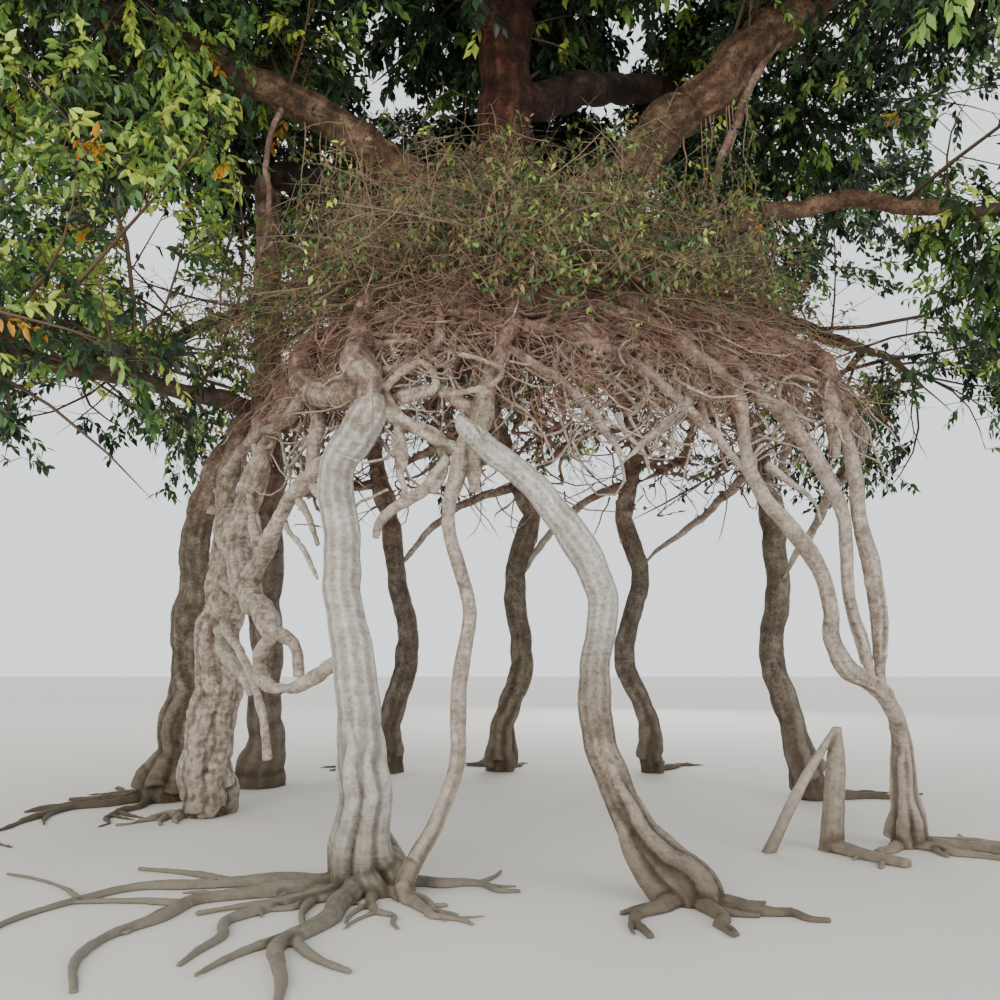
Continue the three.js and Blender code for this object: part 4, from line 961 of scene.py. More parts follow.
print("wear is read after", SMOOTHINGS, "rounds of smoothing")

# %% [markdown]
# ## From strands to one skin
#
# A voxel remesh takes a bundle of crossing tubes and gives back one closed skin, as growing wood
# does. Skinning a bundle by hand, tube by tube, would leave seams at every fork. After it come a
# little smoothing and the two displacements. The remesh makes more faces than the shape needs, so
# three in ten are kept. Nothing reaches below the ground.


# %% One skin of bark
FACE_SHARE = 0.3


def skin(name, paths, nodes, material, voxel, swelling=0.014, knobs=0.006, sides=10):
    """Melts tubes along the paths into one skin of bark that replaces the nodes."""
    piece = mesh_object(name, *joined([tube(path, sides) for path in paths]))
    use(piece)
    apply(piece, "REMESH", mode="VOXEL", voxel_size=voxel, use_smooth_shade=True)
    apply(piece, "SMOOTH", factor=0.5, iterations=1)
    apply(piece, "DISPLACE", texture=CLOUDS["swellings"], strength=swelling, mid_level=0.5)
    apply(piece, "DISPLACE", texture=CLOUDS["knobs"], strength=knobs, mid_level=0.5)
    # Marks the crevices that the bark darkens with painted shade.
    mark_wear_and_crevice_shade(piece, voxel)
    apply(piece, "DECIMATE", ratio=FACE_SHARE, use_collapse_triangulate=True)
    places = read(piece.data.vertices, "co", 3)
    places[:, 2] = np.maximum(places[:, 2], 0)
    piece.data.vertices.foreach_set("co", places.ravel())
    piece.data.update()
    piece.data.materials.append(material)
    bpy.ops.object.shade_smooth()
    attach(piece, "root")
    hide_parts(*nodes)
    print(name, len(piece.data.polygons), "faces")


print("a skin keeps", FACE_SHARE, "of its faces")

# %% [markdown]
# ## Roots over the ground, and ends
#
# From a stem's foot, roots run out over the ground, half sunk, fork once or twice and thin out. A
# limb's end needs care too. One that ends in the open narrows to a tip, and one that ends inside
# another limb gets a row more, so that it goes in as a rounded point.


# %% Ground roots and tips
def ground_roots(foot, rows, seed):
    """Roots from a foot, by rows of direction in degrees, length, radius and bend."""
    draw = np.random.default_rng(seed)
    shares = np.linspace(0, 1, 9)
    made = []
    for azimuth, length, radius, bend in rows:
        turn = np.radians(azimuth + bend * shares**2) + 0.10 * wave(shares, seed + len(made), 0.5)
        lying = 0.28 * (1 - shares) + 0.1 * wave(shares, seed, 0.3)
        height = radius * np.where(shares < 0.12, 1.9, lying)
        x = foot[0] + length * shares * np.cos(turn)
        y = foot[1] + length * shares * np.sin(turn)
        path = smooth_path(np.column_stack([x, y, height, radius * (1.1 - 0.8 * shares)]), 0.04)
        made.append(path)
        for _ in range(2):
            x, y, _, thick = path[int(len(path) * draw.uniform(0.25, 0.7))]
            way = np.radians(azimuth + draw.choice([-1, 1]) * draw.uniform(25, 50))
            far = length * draw.uniform(0.25, 0.45)
            fork = []
            for share in (0, 0.35, 0.7, 1):
                out, heading = far * share, way + 0.3 * share
                place = (x + out * np.cos(heading), y + out * np.sin(heading))
                fork.append((*place, 0.2 * thick, thick * (0.7 - 0.45 * share)))
            made.append(smooth_path(fork, 0.04))
    return made


def to_a_tip(path, share=0.25):
    """The same path with its last part narrowing to a thin end."""
    ends = path.copy()
    left = 1 - np.linspace(0, 1, len(path))
    ends[:, 3] *= np.clip(0.12 + 0.88 * np.sqrt(np.clip(left / share, 0, 1)), 0, 1)
    return ends


def carried_on(rows):
    """The rows with one more beyond the last, so that a limb ends as a rounded point."""
    last, before = np.array(rows[-1], float), np.array(rows[-2], float)
    onward = last + 0.35 * (last - before)
    onward[3] = 0.35 * last[3]
    return [*rows, tuple(onward)]


print("a ground root and its forks are", len(ground_roots((0, 0), [(0, 1, 0.05, 0)], 1)), "paths")

# %% [markdown]
# ## The stems' skins
#
# A stem's core is drawn a little thin at the foot, because the strands round it make it up to full
# size. A small voxel costs time and faces, so the near stems get one of 8 to 10 mm and those at the
# back 16 mm. The left inner stem swells and knobs most: it is the oldest bundle.


# %% Skins of the root stems
def stem_paths(name, seed):
    """A stem's core, strands, side limbs and ground roots."""
    stem = STEMS[name]
    core = wander(smooth_path(climbing(carried_on(stem["rows"])), 0.03), seed, 0.16)
    thin = core.copy()
    thin[:, 3] *= np.interp(np.linspace(0, 1, len(core)), [0, 0.1, 0.45, 1], [0.7, 0.72, 0.9, 0.95])
    paths = [thin]
    for k, (count, share, start, stop) in enumerate(stem["strands"]):
        proud = 0.08 if start == 0 and stop < 1 else 0.0
        paths += strands(core, count, share, seed + 3 + k, start, stop, 0.35, proud)
    for k, rows in enumerate(stem.get("limbs", [])):
        limb = wander(smooth_path(climbing(rows), 0.03), seed + 20 + k, 0.3)
        paths += [limb] + strands(limb, 3, 0.45, seed + 40 + k, 0.0, 0.9)
    foot = on_hollow(stem["rows"][0][0], 0, stem["rows"][0][2])
    return paths + ground_roots(foot, stem["roots"], seed + 60)


# Each stem's bark, the size of its voxels, and how far it swells and knobs, in metres.
STEM_SKINS = {
    "main_stem": (pale_bark, 0.009, 0.014, 0.006),
    "thin_front_stem": (tan_bark, 0.008, 0.01, 0.008),
    "bent_front_stem": (mottled_bark, 0.009, 0.014, 0.006),
    "right_front_stem": (tan_bark, 0.009, 0.014, 0.008),
    "right_inner_stem": (tan_bark, 0.009, 0.012, 0.008),
    "right_outer_stem": (tan_bark, 0.009, 0.014, 0.008),
    "left_outer_stem": (brown_bark, 0.013, 0.03, 0.012),
    "left_inner_stem": (tan_bark, 0.01, 0.05, 0.022),
    "back_stem_left": (brown_bark, 0.016, 0.02, 0.01),
    "back_stem_middle": (brown_bark, 0.016, 0.02, 0.01),
    "back_stem_right": (brown_bark, 0.016, 0.02, 0.01),
    "right_stem": (brown_bark, 0.016, 0.02, 0.01),
}
for k, (node, (material, voxel, swelling, knobs)) in enumerate(STEM_SKINS.items()):
    skin(node + "_skin", stem_paths(node, 100 + 10 * k), [node], material, voxel, swelling, knobs)

# %% [markdown]
# ## The broken roots and the prop
#
# A broken pair of roots leans together at the right, with square ends. Behind the hollow a thick
# root came down from the back left bough and props it, so it stands apart from the dome.

# %% Skins of the broken roots and the prop stem
broken = [smooth_path(rows, 0.03) for rows in BROKEN_ROOTS]
skin("broken_roots_skin", broken, ["broken_roots"], tan_bark, 0.011, 0.01, 0.008)

prop = wander(smooth_path(PROP_STEM, 0.05), 400, 0.15)
prop_roots = [(110, 1.1, 0.06, 16), (165, 1.2, 0.06, -14), (215, 0.9, 0.05, 10)]
prop_paths = [prop] + strands(prop, 5, 0.4, 401) + ground_roots(PROP_STEM[0][:2], prop_roots, 402)
skin("prop_stem_skin", prop_paths, ["prop_stem"], brown_bark, 0.017)

# %% [markdown]
# ## The net over the dome
#
# The shoulders are drawn with wandering strands, and a seeded rule adds about 160 thinner roots
# that drift down over the dome and its eaves. They lie near the hollow's surface and cross one
# another, and the remesh fuses them where they do. Placing each by hand would take days.


# %% The net's rule
def net_roots(count, seed, low, high, thin, thick, azimuths):
    """Roots that wander down over the dome between two climbs."""
    draw = np.random.default_rng(seed)
    steps = np.linspace(0, 1, 15)
    made = []
    for k in range(count):
        start = draw.uniform(*azimuths)
        top = draw.uniform(low + 0.5 * (high - low), high)
        bottom = draw.uniform(low, top - 0.35)
        drift = draw.uniform(-30, 30)
        curl = draw.uniform(0.5, 2.2)
        azimuth = start + drift * steps + 5 * curl * wave(steps, seed + k, 0.5)
        climb = top + (bottom - top) * steps + 0.09 * curl * wave(steps, seed + 300 + k, 0.4)
        off = 0.05 + 0.05 * wave(steps, seed + 500 + k, 0.5)
        radius = draw.uniform(thin, thick) * (1 - 0.45 * steps)
        rows = np.column_stack([on_hollow(azimuth, climb, off), radius])
        made.append(to_a_tip(smooth_path(rows, 0.05)))
    return made


def into_stem(rows):
    """A shoulder's first part, drawn down into the stem so that the two skins run together."""
    azimuth, climb, off, radius = rows[0]
    deep = (azimuth, climb - 0.32, off, 0.55 * radius)
    shallow = (azimuth, climb - 0.12, off, 0.86 * radius)
    return smooth_path(climbing([deep, shallow, rows[0], rows[1]]), 0.04)


print("the net's roots are 28 to 60 mm thick")

# %% [markdown]
# ## The shoulders' skins
#
# One skin for the whole dome would be too heavy to remesh finely, so there are five, each over its
# own stretch of the compass, and they overlap a little. Main shoulders start inside their stem. A
# side root that starts on a shoulder and ends in the open gets a tip.

# %% Skins of the shoulders and the net
# How thick a side root is at its start when it grows from a stem, and how thick a front root is
# when it has strands of its own.
FROM_STEM, STRANDED = 0.075, 0.062
NET_CLIMBS, NET_RADII = (2.3, 5.2), (0.014, 0.03)

# Each skin's shoulders, its stretch of the compass, its share of the net and its voxel size.
SHOULDER_SKINS = {
    "front_shoulders_skin": (
        ["front_left_shoulder", "front_right_shoulder"], (228, 290), 40, 0.011,
    ),
    "right_shoulders_skin": (
        ["right_front_shoulder", "right_shoulder"], (288, 350), 44, 0.011,
    ),
    "back_right_shoulders_skin": (
        ["right_back_shoulder", "back_right_shoulder"], (345, 430), 24, 0.016,
    ),
    "back_left_shoulders_skin": (
        ["back_middle_shoulder", "back_left_shoulder"], (70, 155), 24, 0.016,
    ),
    "left_shoulders_skin": (["left_shoulder"], (150, 228), 26, 0.012),
}


def shoulder_paths(rows, main, seed):
    """The paths of one root of a shoulder: its limb, its strands and its start in a stem."""
    limb = wander(smooth_path(climbing(rows), 0.04), seed, 0.45)
    start = []
    if main or rows[0][3] >= FROM_STEM:
        start = [into_stem(rows)]
    else:
        limb = to_a_tip(limb)
    count, stop = (4, 1.0) if main else (3, 0.8)
    return start + [limb] + strands(limb, count, 0.42, seed + 9, 0.0, stop)


for k, (name, (nodes, azimuths, count, voxel)) in enumerate(SHOULDER_SKINS.items()):
    paths = []
    for n, node in enumerate(nodes):
        for m, rows in enumerate(SHOULDERS[node]):
            paths += shoulder_paths(rows, m == 0, 1000 + 100 * k + 20 * n + m)
    for m, rows in enumerate(FRONT_ROOTS):
        if azimuths[0] <= rows[0][0] < azimuths[1]:
            root = wander(smooth_path(climbing(rows), 0.025), 1900 + m, 0.3)
            paths.append(root)
            if rows[0][3] > STRANDED:
                paths += strands(root, 2, 0.6, 1950 + m)
    paths += net_roots(count, 2000 + 50 * k, *NET_CLIMBS, *NET_RADII, azimuths)
    skin(name, paths, nodes, dome_bark, voxel, 0.02, 0.012, 8)

# %% [markdown]
# ## The trunk
#
# The trunk's foot is drawn as eighteen ridges that run from its sides down over the dome, so it
# grips the shoulders. A plain cone would look like a post set on a ball. Sines of the ridge's
# number shift each one a little in direction and reach.

# %% The trunk's skin
RIDGES = 18
TRUNK_MIDDLE = np.array(TRUNK[0][:2])
# Height, distance from the trunk's axis and radius of a ridge on its way down to the dome.
RIDGE_ROWS = [(5.35, 0.2, 0.09), (4.7, 0.29, 0.1), (4.36, 0.48, 0.1)]

trunk = wander(smooth_path(TRUNK, 0.06), 700, 0.1)
trunk_paths = [trunk] + strands(trunk, 8, 0.34, 701)
for k in range(RIDGES):
    azimuth = 20 * k + 7 * math.sin(5.0 * k)
    reach = 4.35 + 0.25 * math.sin(3.1 * k)
    side = np.array([math.cos(math.radians(azimuth)), math.sin(math.radians(azimuth))])
    rows = [(*(TRUNK_MIDDLE + out * side), height, thick) for height, out, thick in RIDGE_ROWS]
    rows.append((*on_hollow(azimuth, 4.85, 0.07), 0.085))
    rows.append((*on_hollow(azimuth + 5 * math.sin(2.3 * k), reach, 0.06), 0.04))
    trunk_paths.append(wander(smooth_path(rows, 0.05), 720 + k, 0.3))
skin("trunk_skin", trunk_paths, ["trunk"], red_bark, 0.016)

# %% [markdown]
# ## Boughs and hanging roots
#
# Boughs are smoother than roots, so each has four long shallow strands. They are joined in three
# skins by how they are lit, and that light is painted into their bark: the near ones get painted
# daylight, the back ones painted shade, and the front ones, which stand over the camera, the
# trunk's red brown. The three thick hanging roots are one plain skin.


# %% Skins of the boughs and the hanging roots
def bough_paths(names):
    paths = []
    for name in names:
        seed = 800 + 10 * list(BOUGHS).index(name)
        limb = wander(smooth_path(BOUGHS[name], 0.06), seed, 0.3)
        paths += [limb] + strands(limb, 4, 0.36, seed + 1, 0.1, 1.0)
    return paths


near = ["bough_right_high", "bough_left_high", "bough_right_low", "bough_left_low"]
front = [name for name in BOUGHS if name.startswith("bough_front")]
back = [name for name in BOUGHS if name.startswith("bough_back")]
# The near boughs' bark has painted daylight, the back boughs' bark painted shade.
skin("near_boughs_skin", bough_paths(near), near, painted_daylight_bough_bark, 0.015)
skin("front_boughs_skin", bough_paths(front), front, red_bark, 0.018)
skin("back_boughs_skin", bough_paths(back), back, shade_bark, 0.02)

aerial = [
    wander(smooth_path(rows, 0.03), 900 + k, 0.6) for k, rows in enumerate(AERIAL_ROOTS.values())
]
skin("aerial_roots_skin", aerial, list(AERIAL_ROOTS), dome_bark, 0.009, 0.008, 0.006)

# %% [markdown]
# ## The crown's masses
#
# The crown is one wide rounded form, and every bough carries a mass of leaves in its own part of
# it. Three more masses at the top hang on the trunk's end. The source names these masses, so each
# is grown by itself here, from its bough's tip round its centre.

# %% The crown and its masses
CROWN_CENTRE = np.array([0.9, 2.3, 6.9])
CROWN_REACH = np.array([7.6, 7.0, 5.0])
# Each mass's bough, if it has one, and its centre.
MASSES = {
    "foliage_right_high": ("bough_right_high", (5.5, 0.9, 8.0)),
    "foliage_right_low": ("bough_right_low", (6.1, 1.7, 4.8)),
    "foliage_left_high": ("bough_left_high", (-3.7, 1.3, 7.1)),
    "foliage_left_low": ("bough_left_low", (-3.7, 0.1, 3.5)),
    "foliage_back_left": ("bough_back_left", (-3.3, 5.0, 7.7)),
    "foliage_back_low_left": ("bough_back_low_left", (-4.2, 4.6, 4.4)),
    "foliage_back_low_right": ("bough_back_low_right", (5.6, 4.7, 4.3)),
    "foliage_back": ("bough_back", (0.9, 6.7, 7.0)),
    "foliage_back_right": ("bough_back_right", (4.5, 5.2, 7.9)),
    "foliage_front_right": ("bough_front_right", (3.8, -1.6, 7.5)),
    "foliage_front": ("bough_front", (0.6, -2.5, 8.5)),
    "foliage_front_left": ("bough_front_left", (-2.7, -1.5, 7.3)),
    "foliage_top_left": (None, (-1.3, 1.7, 9.9)),
    "foliage_top_right": (None, (2.7, 1.5, 10.2)),
    "foliage_top_back": (None, (0.7, 4.4, 10.0)),
}
CENTRES = np.array([centre for _, centre in MASSES.values()])
print(len(MASSES), "foliage masses")

# %% [markdown]
# ## A mass's own space
#
# The underside of the crown is a high vault in the middle and in front, where one looks in under
# it, and hangs low at the rim and on the left. A mass has the part of the crown that is nearest its
# own centre, so masses meet without running through one another. The test takes whole arrays, so
# millions of candidate places cost little.

# %% Inside the crown and inside a mass's space
RIM_HEIGHT, VAULT_HEIGHT = 2.3, 6.2
SPACE_BETWEEN = 0.04


def ease(value, low, high):
    """A soft step from 0 to 1 between two values."""
    t = np.clip((value - low) / (high - low), 0, 1)
    return t * t * (3 - 2 * t)


def in_crown(points):
    """Whether each point lies in the crown, above its underside and inside the solids' box."""
    d = (points - CROWN_CENTRE) / CROWN_REACH
    out = np.hypot(d[..., 0], d[..., 1])
    left = ease(-d[..., 0], 0.2, 0.33) * (1 - ease(np.abs(d[..., 1] + 0.16), 0.16, 0.3))
    hang = ease(out, 0.36 - 0.16 * left, 0.62 - 0.24 * left) * (1 - ease(-d[..., 1], 0.25, 0.5))
    lowest = VAULT_HEIGHT + (RIM_HEIGHT - VAULT_HEIGHT) * hang
    low, high = np.array(cad_box)
    boxed = ((points > low) & (points < high)).all(-1)
    return ((d**2).sum(-1) < 1) & (points[..., 2] > lowest) & boxed


def in_space(points, index):
    """Whether each point lies in the space of the mass with this number."""
    distances = np.linalg.norm(points[..., None, :] - CENTRES, axis=-1)
    own = distances[..., index].copy()
    distances[..., index] = np.inf
    return in_crown(points) & (distances.min(-1) > own + SPACE_BETWEEN)


print("masses keep", SPACE_BETWEEN, "m apart")

# %% [markdown]
# ## The top, and how far twigs reach
#
# The solids' box would cut the crown flat on top. Crowns are rounded and lumpy there, so a dome
# with dents stands a little lower than the box, and no twig or leaf rises above it. Twigs set out
# evenly in all directions. A golden angle spaces them, which is how a shoot spaces its leaves.

# %% The crown's top, directions and reaches
TOP_REACH, TOP_DENTS = 4.5, 0.4
GOLDEN_ANGLE = math.pi * (3 - math.sqrt(5))
STRIDE = 0.1


def under_top(points):
    """Whether each point lies under the crown's rounded and lumpy top."""
    d = (points[..., :2] - CROWN_CENTRE[:2]) / CROWN_REACH[:2]
    dome = np.sqrt(np.clip(1 - (d**2).sum(-1), 0, 1))
    dents = 0.5 + 0.5 * np.sin(1.7 * points[..., 0] + 1) * np.sin(1.5 * points[..., 1] + 2)
    return points[..., 2] < CROWN_CENTRE[2] + dome * (TOP_REACH - TOP_DENTS * dents)


def spread(count, turn):
    """Even directions over a sphere."""
    i = np.arange(count)
    z = 1 - (2 * i + 1) / count
    angle = i * GOLDEN_ANGLE + turn
    flat = np.sqrt(1 - z * z)
    return np.column_stack([flat * np.cos(angle), flat * np.sin(angle), z])


def reach_of(inside_test, starts, ways, limit):
    """How far each way stays inside a space."""
    steps = np.arange(STRIDE, limit, STRIDE)
    inside = inside_test(starts[:, None] + ways[:, None] * steps[None, :, None])
    first_out = np.where(inside.all(1), len(steps), inside.argmin(1))
    return first_out * STRIDE


print("reaches are felt out in steps of", STRIDE, "m")

# %% [markdown]
# ## Leaf colours
#
# A fig leaf is leathery and glossy above. Seen from below against the sky some leaves glow with
# the light through them, and that glow is painted into their colours: on the left of this crown
# many are young and yellow green, painted brighter as if backlit, with a few turning orange. Eight
# plain colours are enough for that. A texture on each leaf would be too fine to show at this
# distance.

# %% Leaf materials
# The sheen of a leathery leaf.
LEAF_ROUGHNESS, LEAF_IOR = 0.45, 1.45
LEAF_COLOURS = {
    # Deep inside the crown, nearly black: it gives the crown its depth.
    "leaf_shadow": "#1f3122",
    # The old leaves' dark green, the crown's main tone.
    "leaf_deep": "#2f4a2b",
    # A full-grown leaf in soft light.
    "leaf_mid": "#466636",
    # A leaf near the outside, lit through.
    "leaf_light": "#759a49",
    # Young yellow-green leaves, with painted backlight that makes them glow on the left.
    "leaf_young_backlit": "#b6cb58",
    # A leaf about to fall: sparks of orange in the green.
    "leaf_turning": "#c8922f",
    # Dusty olive leaves of the thickets.
    "leaf_olive": "#676b3e",
    # Dead leaves caught in the thickets' twigs.
    "leaf_dry": "#857049",
}
LEAF_MATERIALS = []
for name, colour in LEAF_COLOURS.items():
    LEAF_MATERIALS.append(plain(name, colour, LEAF_ROUGHNESS, LEAF_IOR))
print(len(LEAF_MATERIALS), "leaf colours")

# %% [markdown]
# ## Which colour grows where
#
# Each spray takes one of the eight colours by chance, and where it grows sets how likely each is.
# Leaves coloured one by one would blur to an even green, while a spray of one colour shows as one
# shoot, as it does on the tree.

# %% Shares of the leaf colours
# The share of each colour in the order above: in shade, in the open, on the glowing left and in
# the thickets.
SHADED = np.array([0.40, 0.33, 0.19, 0.07, 0.01, 0.0, 0.0, 0.0])
OPEN = np.array([0.14, 0.27, 0.33, 0.2, 0.05, 0.01, 0.0, 0.0])
GLOWING = np.array([0.0, 0.03, 0.13, 0.38, 0.42, 0.04, 0.0, 0.0])
THICKET_MIX = np.array([0.04, 0.1, 0.18, 0.1, 0.03, 0.0, 0.35, 0.2])
# Where the painted glow of backlit leaves lies, low on the left, and how far it reaches.
GLOW_PLACE, GLOW_REACH = np.array([-2.9, 2.7, 4.9]), np.array([2.3, 2.6, 0.85])


def leaf_mix(places):
    """The share of each colour at each place: dark up high and inside, glowing low on the left."""
    glow = np.exp(-0.5 * (((places - GLOW_PLACE) / GLOW_REACH) ** 2).sum(-1))[:, None]
    high = ease(places[:, 2:3], 5.4, 6.5) * (places[:, 2:3] < 9)
    low = 1 - ease(places[:, 2:3], 3.7, 4.3)
    dark = np.clip(0.85 * high + 0.7 * low, 0, 1)
    mix = OPEN * (1 - dark) + SHADED * dark
    return mix * (1 - glow) + GLOWING * glow


# Living twigs in the crown: dark brown, so that they draw fine lines against the sky.
twig_bark = plain("twig_bark", "#5f4c3b", 0.85)
# Dead twigs bleached by the sun: the pale tangle over the dome.
dry_bark = plain("dry_twig_bark", "#8b7660", 0.85)
# Thin young roots and twigs with a reddish skin, which warm the tangle.
rust_bark = plain("rust_twig_bark", "#86604f", 0.85)
print("three barks for what is thinner than a finger")

# %% [markdown]
# ## Twigs from arrays
#
# This crown has a few hundred thousand twigs and leaves, too many to place one object at a time.
# So all twigs of one order are worked out together in arrays: where each starts, which way it goes
# and how long it is. Each bends a little sideways and sags under its leaves.


# %% Points along many twigs
def unit(vectors):
    return vectors / np.maximum(np.linalg.norm(vectors, axis=-1, keepdims=True), 1e-9)


def square_to(ways):
    """Two directions square to each way."""
    aside = np.where(np.abs(ways[:, 2:3]) < 0.9, [[0.0, 0.0, 1.0]], [[1.0, 0.0, 0.0]])
    first = unit(np.cross(ways, aside))
    return first, np.cross(ways, first)


def twig_points(starts, ways, lengths, sag, draw, joints=3):
    """Points along many bending twigs: an array of twig, joint and x, y, z."""
    shares = np.linspace(0, 1, joints)[None, :, None]
    first, second = square_to(ways)
    bend = draw.uniform(-0.16, 0.16, (len(starts), 2))
    side = first * bend[:, :1] + second * bend[:, 1:]
    straight = ways[:, None] * shares
    curved = side[:, None] * np.sin(shares * math.pi)
    fall = np.array([0, 0, -1.0]) * sag * shares**2
    return starts[:, None] + lengths[:, None, None] * (straight + curved + fall)


print("twigs bend by up to 16 % of their length")

# %% [markdown]
# ## Side twigs
#
# Fig twigs stand round their parent in a spiral. So each side twig takes its own stretch of the
# parent and turns on from the one before. A twig that points more forward gives a slim shoot, one
# that points more sideways a bushy one, and droop bends it down.


# %% Where side twigs start and point
SPIRAL = 2.4


def along_twigs(points, shares):
    """The place on each twig at a share of its length."""
    joints = points.shape[1]
    at = np.clip(shares, 0, 0.999) * (joints - 1)
    k = at.astype(int)
    t = (at - k)[:, None]
    rows = np.arange(len(points))
    return points[rows, k] * (1 - t) + points[rows, k + 1] * t


def branch(points, per_twig, low, high, draw, forward, droop):
    """Side twigs: how many sit on each twig, where they start and which way they point."""
    owner = np.repeat(np.arange(len(points)), per_twig)
    place = np.tile(np.arange(per_twig), len(points))
    shares = low + (high - low) * (place + draw.uniform(0, 1, len(owner))) / per_twig
    starts = along_twigs(points[owner], shares)
    ways = unit(points[owner, -1] - points[owner, 0])
    first, second = square_to(ways)
    turn = (SPIRAL * place + draw.uniform(-0.5, 0.5, len(owner)) + owner)[:, None]
    side = first * np.cos(turn) + second * np.sin(turn)
    return owner, shares, starts, unit(ways * forward + side * (1 - forward) + [0, 0, -droop])


print("a side twig turns", round(math.degrees(SPIRAL)), "degrees on from the one before")

# %% [markdown]
# ## Thin tubes
#
# A twig a few millimetres thick needs no round section. Three sides do, with half the faces of
# six, and it closes to a point. The faces of one twig are listed once and shifted for the rest.


# %% Three-sided tubes along many twigs
def tube_faces(joints):
    """The triangles of one three-sided tube, whose last point is its tip."""
    faces = []
    for j in range(joints - 2):
        for k in range(3):
            a, b = 3 * j + k, 3 * j + (k + 1) % 3
            faces += [(a, b, b + 3), (a, b + 3, a + 3)]
    tip = 3 * (joints - 1)
    faces += [(tip - 3 + k, tip - 3 + (k + 1) % 3, tip) for k in range(3)]
    return np.array([*faces, (2, 1, 0)])


def thin_tubes(points, radii, aside=None):
    """Three-sided tubes along many twigs at once."""
    count, joints, _ = points.shape
    if joints > 2:
        ways = unit(np.gradient(points, axis=1))
    else:
        ways = np.repeat(unit(points[:, 1:] - points[:, :1]), 2, 1)
    if aside is None:
        level = np.abs(ways.mean(1)[:, 2:3]) < 0.8
        aside = np.where(level, [[0.0, 0.0, 1.0]], [[1.0, 0.0, 0.0]])[:, None]
    first = unit(np.cross(ways, aside))[:, :-1, None]
    second = np.cross(ways[:, :-1, None], first)
    angles = np.array([0, 2.094, 4.189])[None, None, :, None]
    ring = first * np.cos(angles) + second * np.sin(angles)
    body = points[:, :-1, None] + ring * radii[:, : joints - 1, None, None]
    vertices = np.concatenate([body.reshape(count, -1, 3), points[:, -1:]], axis=1)
    shifts = (np.arange(count) * vertices.shape[1])[:, None, None]
    return vertices.reshape(-1, 3), (tube_faces(joints)[None] + shifts).reshape(-1, 3)


print("a twig of three joints has", len(tube_faces(3)), "faces")

# %% [markdown]
# ## Leaves
#
# A fig leaf is a pointed oval that folds a little along its midrib and hangs at its tip. Near the
# camera a leaf is six points and four faces, further off four points and two faces. The fold is
# what makes one half catch the light while the other stays dark.

# %% Two leaf shapes
# Points along, across and above a leaf of length 1, and its faces.
NEAR_POINTS = [
    (0, 0, 0), (0.3, 0.21, 0.05), (0.66, 0.17, 0.02), (1, 0, -0.08), (0.66, -0.17, 0.02),
    (0.3, -0.21, 0.05),
]
FAR_POINTS = [(0, 0, 0), (0.42, 0.23, 0.05), (1, 0, -0.06), (0.42, -0.23, 0.05)]
NEAR_LEAF = np.array(NEAR_POINTS), np.array([(0, 2, 1), (0, 3, 2), (0, 4, 3), (0, 5, 4)])
FAR_LEAF = np.array(FAR_POINTS), np.array([(0, 2, 1), (0, 3, 2)])


def leaves_at(roots, ways, faces_to, lengths, shape):
    """Leaf meshes from where each is rooted, which way it points and which way it faces."""
    outline, faces = shape
    across = unit(np.cross(faces_to, ways))
    upward = np.cross(ways, across)
    axes = np.stack([ways, across, upward], axis=1)
    vertices = roots[:, None] + lengths[:, None, None] * (outline @ axes)
    triangles = faces[None] + (np.arange(len(roots)) * len(outline))[:, None, None]
    return vertices.reshape(-1, 3), triangles.reshape(-1, 3)


print("a near leaf has", len(NEAR_LEAF[1]), "faces, a far one", len(FAR_LEAF[1]))

# %% [markdown]
# ## Keeping clear of the limbs
#
# No twig or leaf grows through a bough. Points along every limb, with the limb's radius, stand in
# for it. The space is cut into small cells, and each that a limb comes near is marked. To look a
# place up in the cells is far quicker than to measure its distance from every limb.

# %% Cells that hold wood
CELL = 0.1
limb_rows = [TRUNK, PROP_STEM, *BOUGHS.values(), *AERIAL_ROOTS.values()]
limb_rows += [climbing(rows) for roots in SHOULDERS.values() for rows in roots]
limb_rows += [climbing(stem["rows"]) for stem in STEMS.values()]
blocked = set()
for x, y, z, radius in np.vstack([smooth_path(rows, CELL) for rows in limb_rows]):
    reach = math.ceil((radius + 0.03) / CELL)
    span = np.arange(-reach, reach + 1)
    around = np.array(np.meshgrid(span, span, span)).reshape(3, -1).T
    cells = around + np.floor(np.array([x, y, z]) / CELL)
    near_enough = np.linalg.norm((cells + 0.5) * CELL - [x, y, z], axis=1) < radius + 0.05
    blocked.update(map(tuple, cells[near_enough].astype(int)))
wood_cells = np.array(list(blocked))
LOW_CELL = wood_cells.min(0) - 1
WOOD = np.zeros(wood_cells.max(0) + 2 - LOW_CELL, bool)
WOOD[tuple((wood_cells - LOW_CELL).T)] = True


def in_wood(points):
    """Whether each point lies in a cell that a limb passes through."""
    cells = np.floor(points / CELL).astype(int) - LOW_CELL
    inside = ((cells >= 0) & (cells < np.array(WOOD.shape))).all(-1)
    cells = np.where(inside[..., None], cells, 0)
    return inside & WOOD[cells[..., 0], cells[..., 1], cells[..., 2]]


print(len(blocked), "cells hold wood")

# %% [markdown]
# ## Full masses and thin ones
#
# Leaves live by light, so a crown is full outside and bare inside, and the masses over the camera
# are thin enough to look through. The near masses have fine leaves, the far ones larger leaves with
# fewer faces. Even so, leaves take a third of all the faces of the tree.

# %% How full each mass is
LEAVES_PER_TWIG = 11
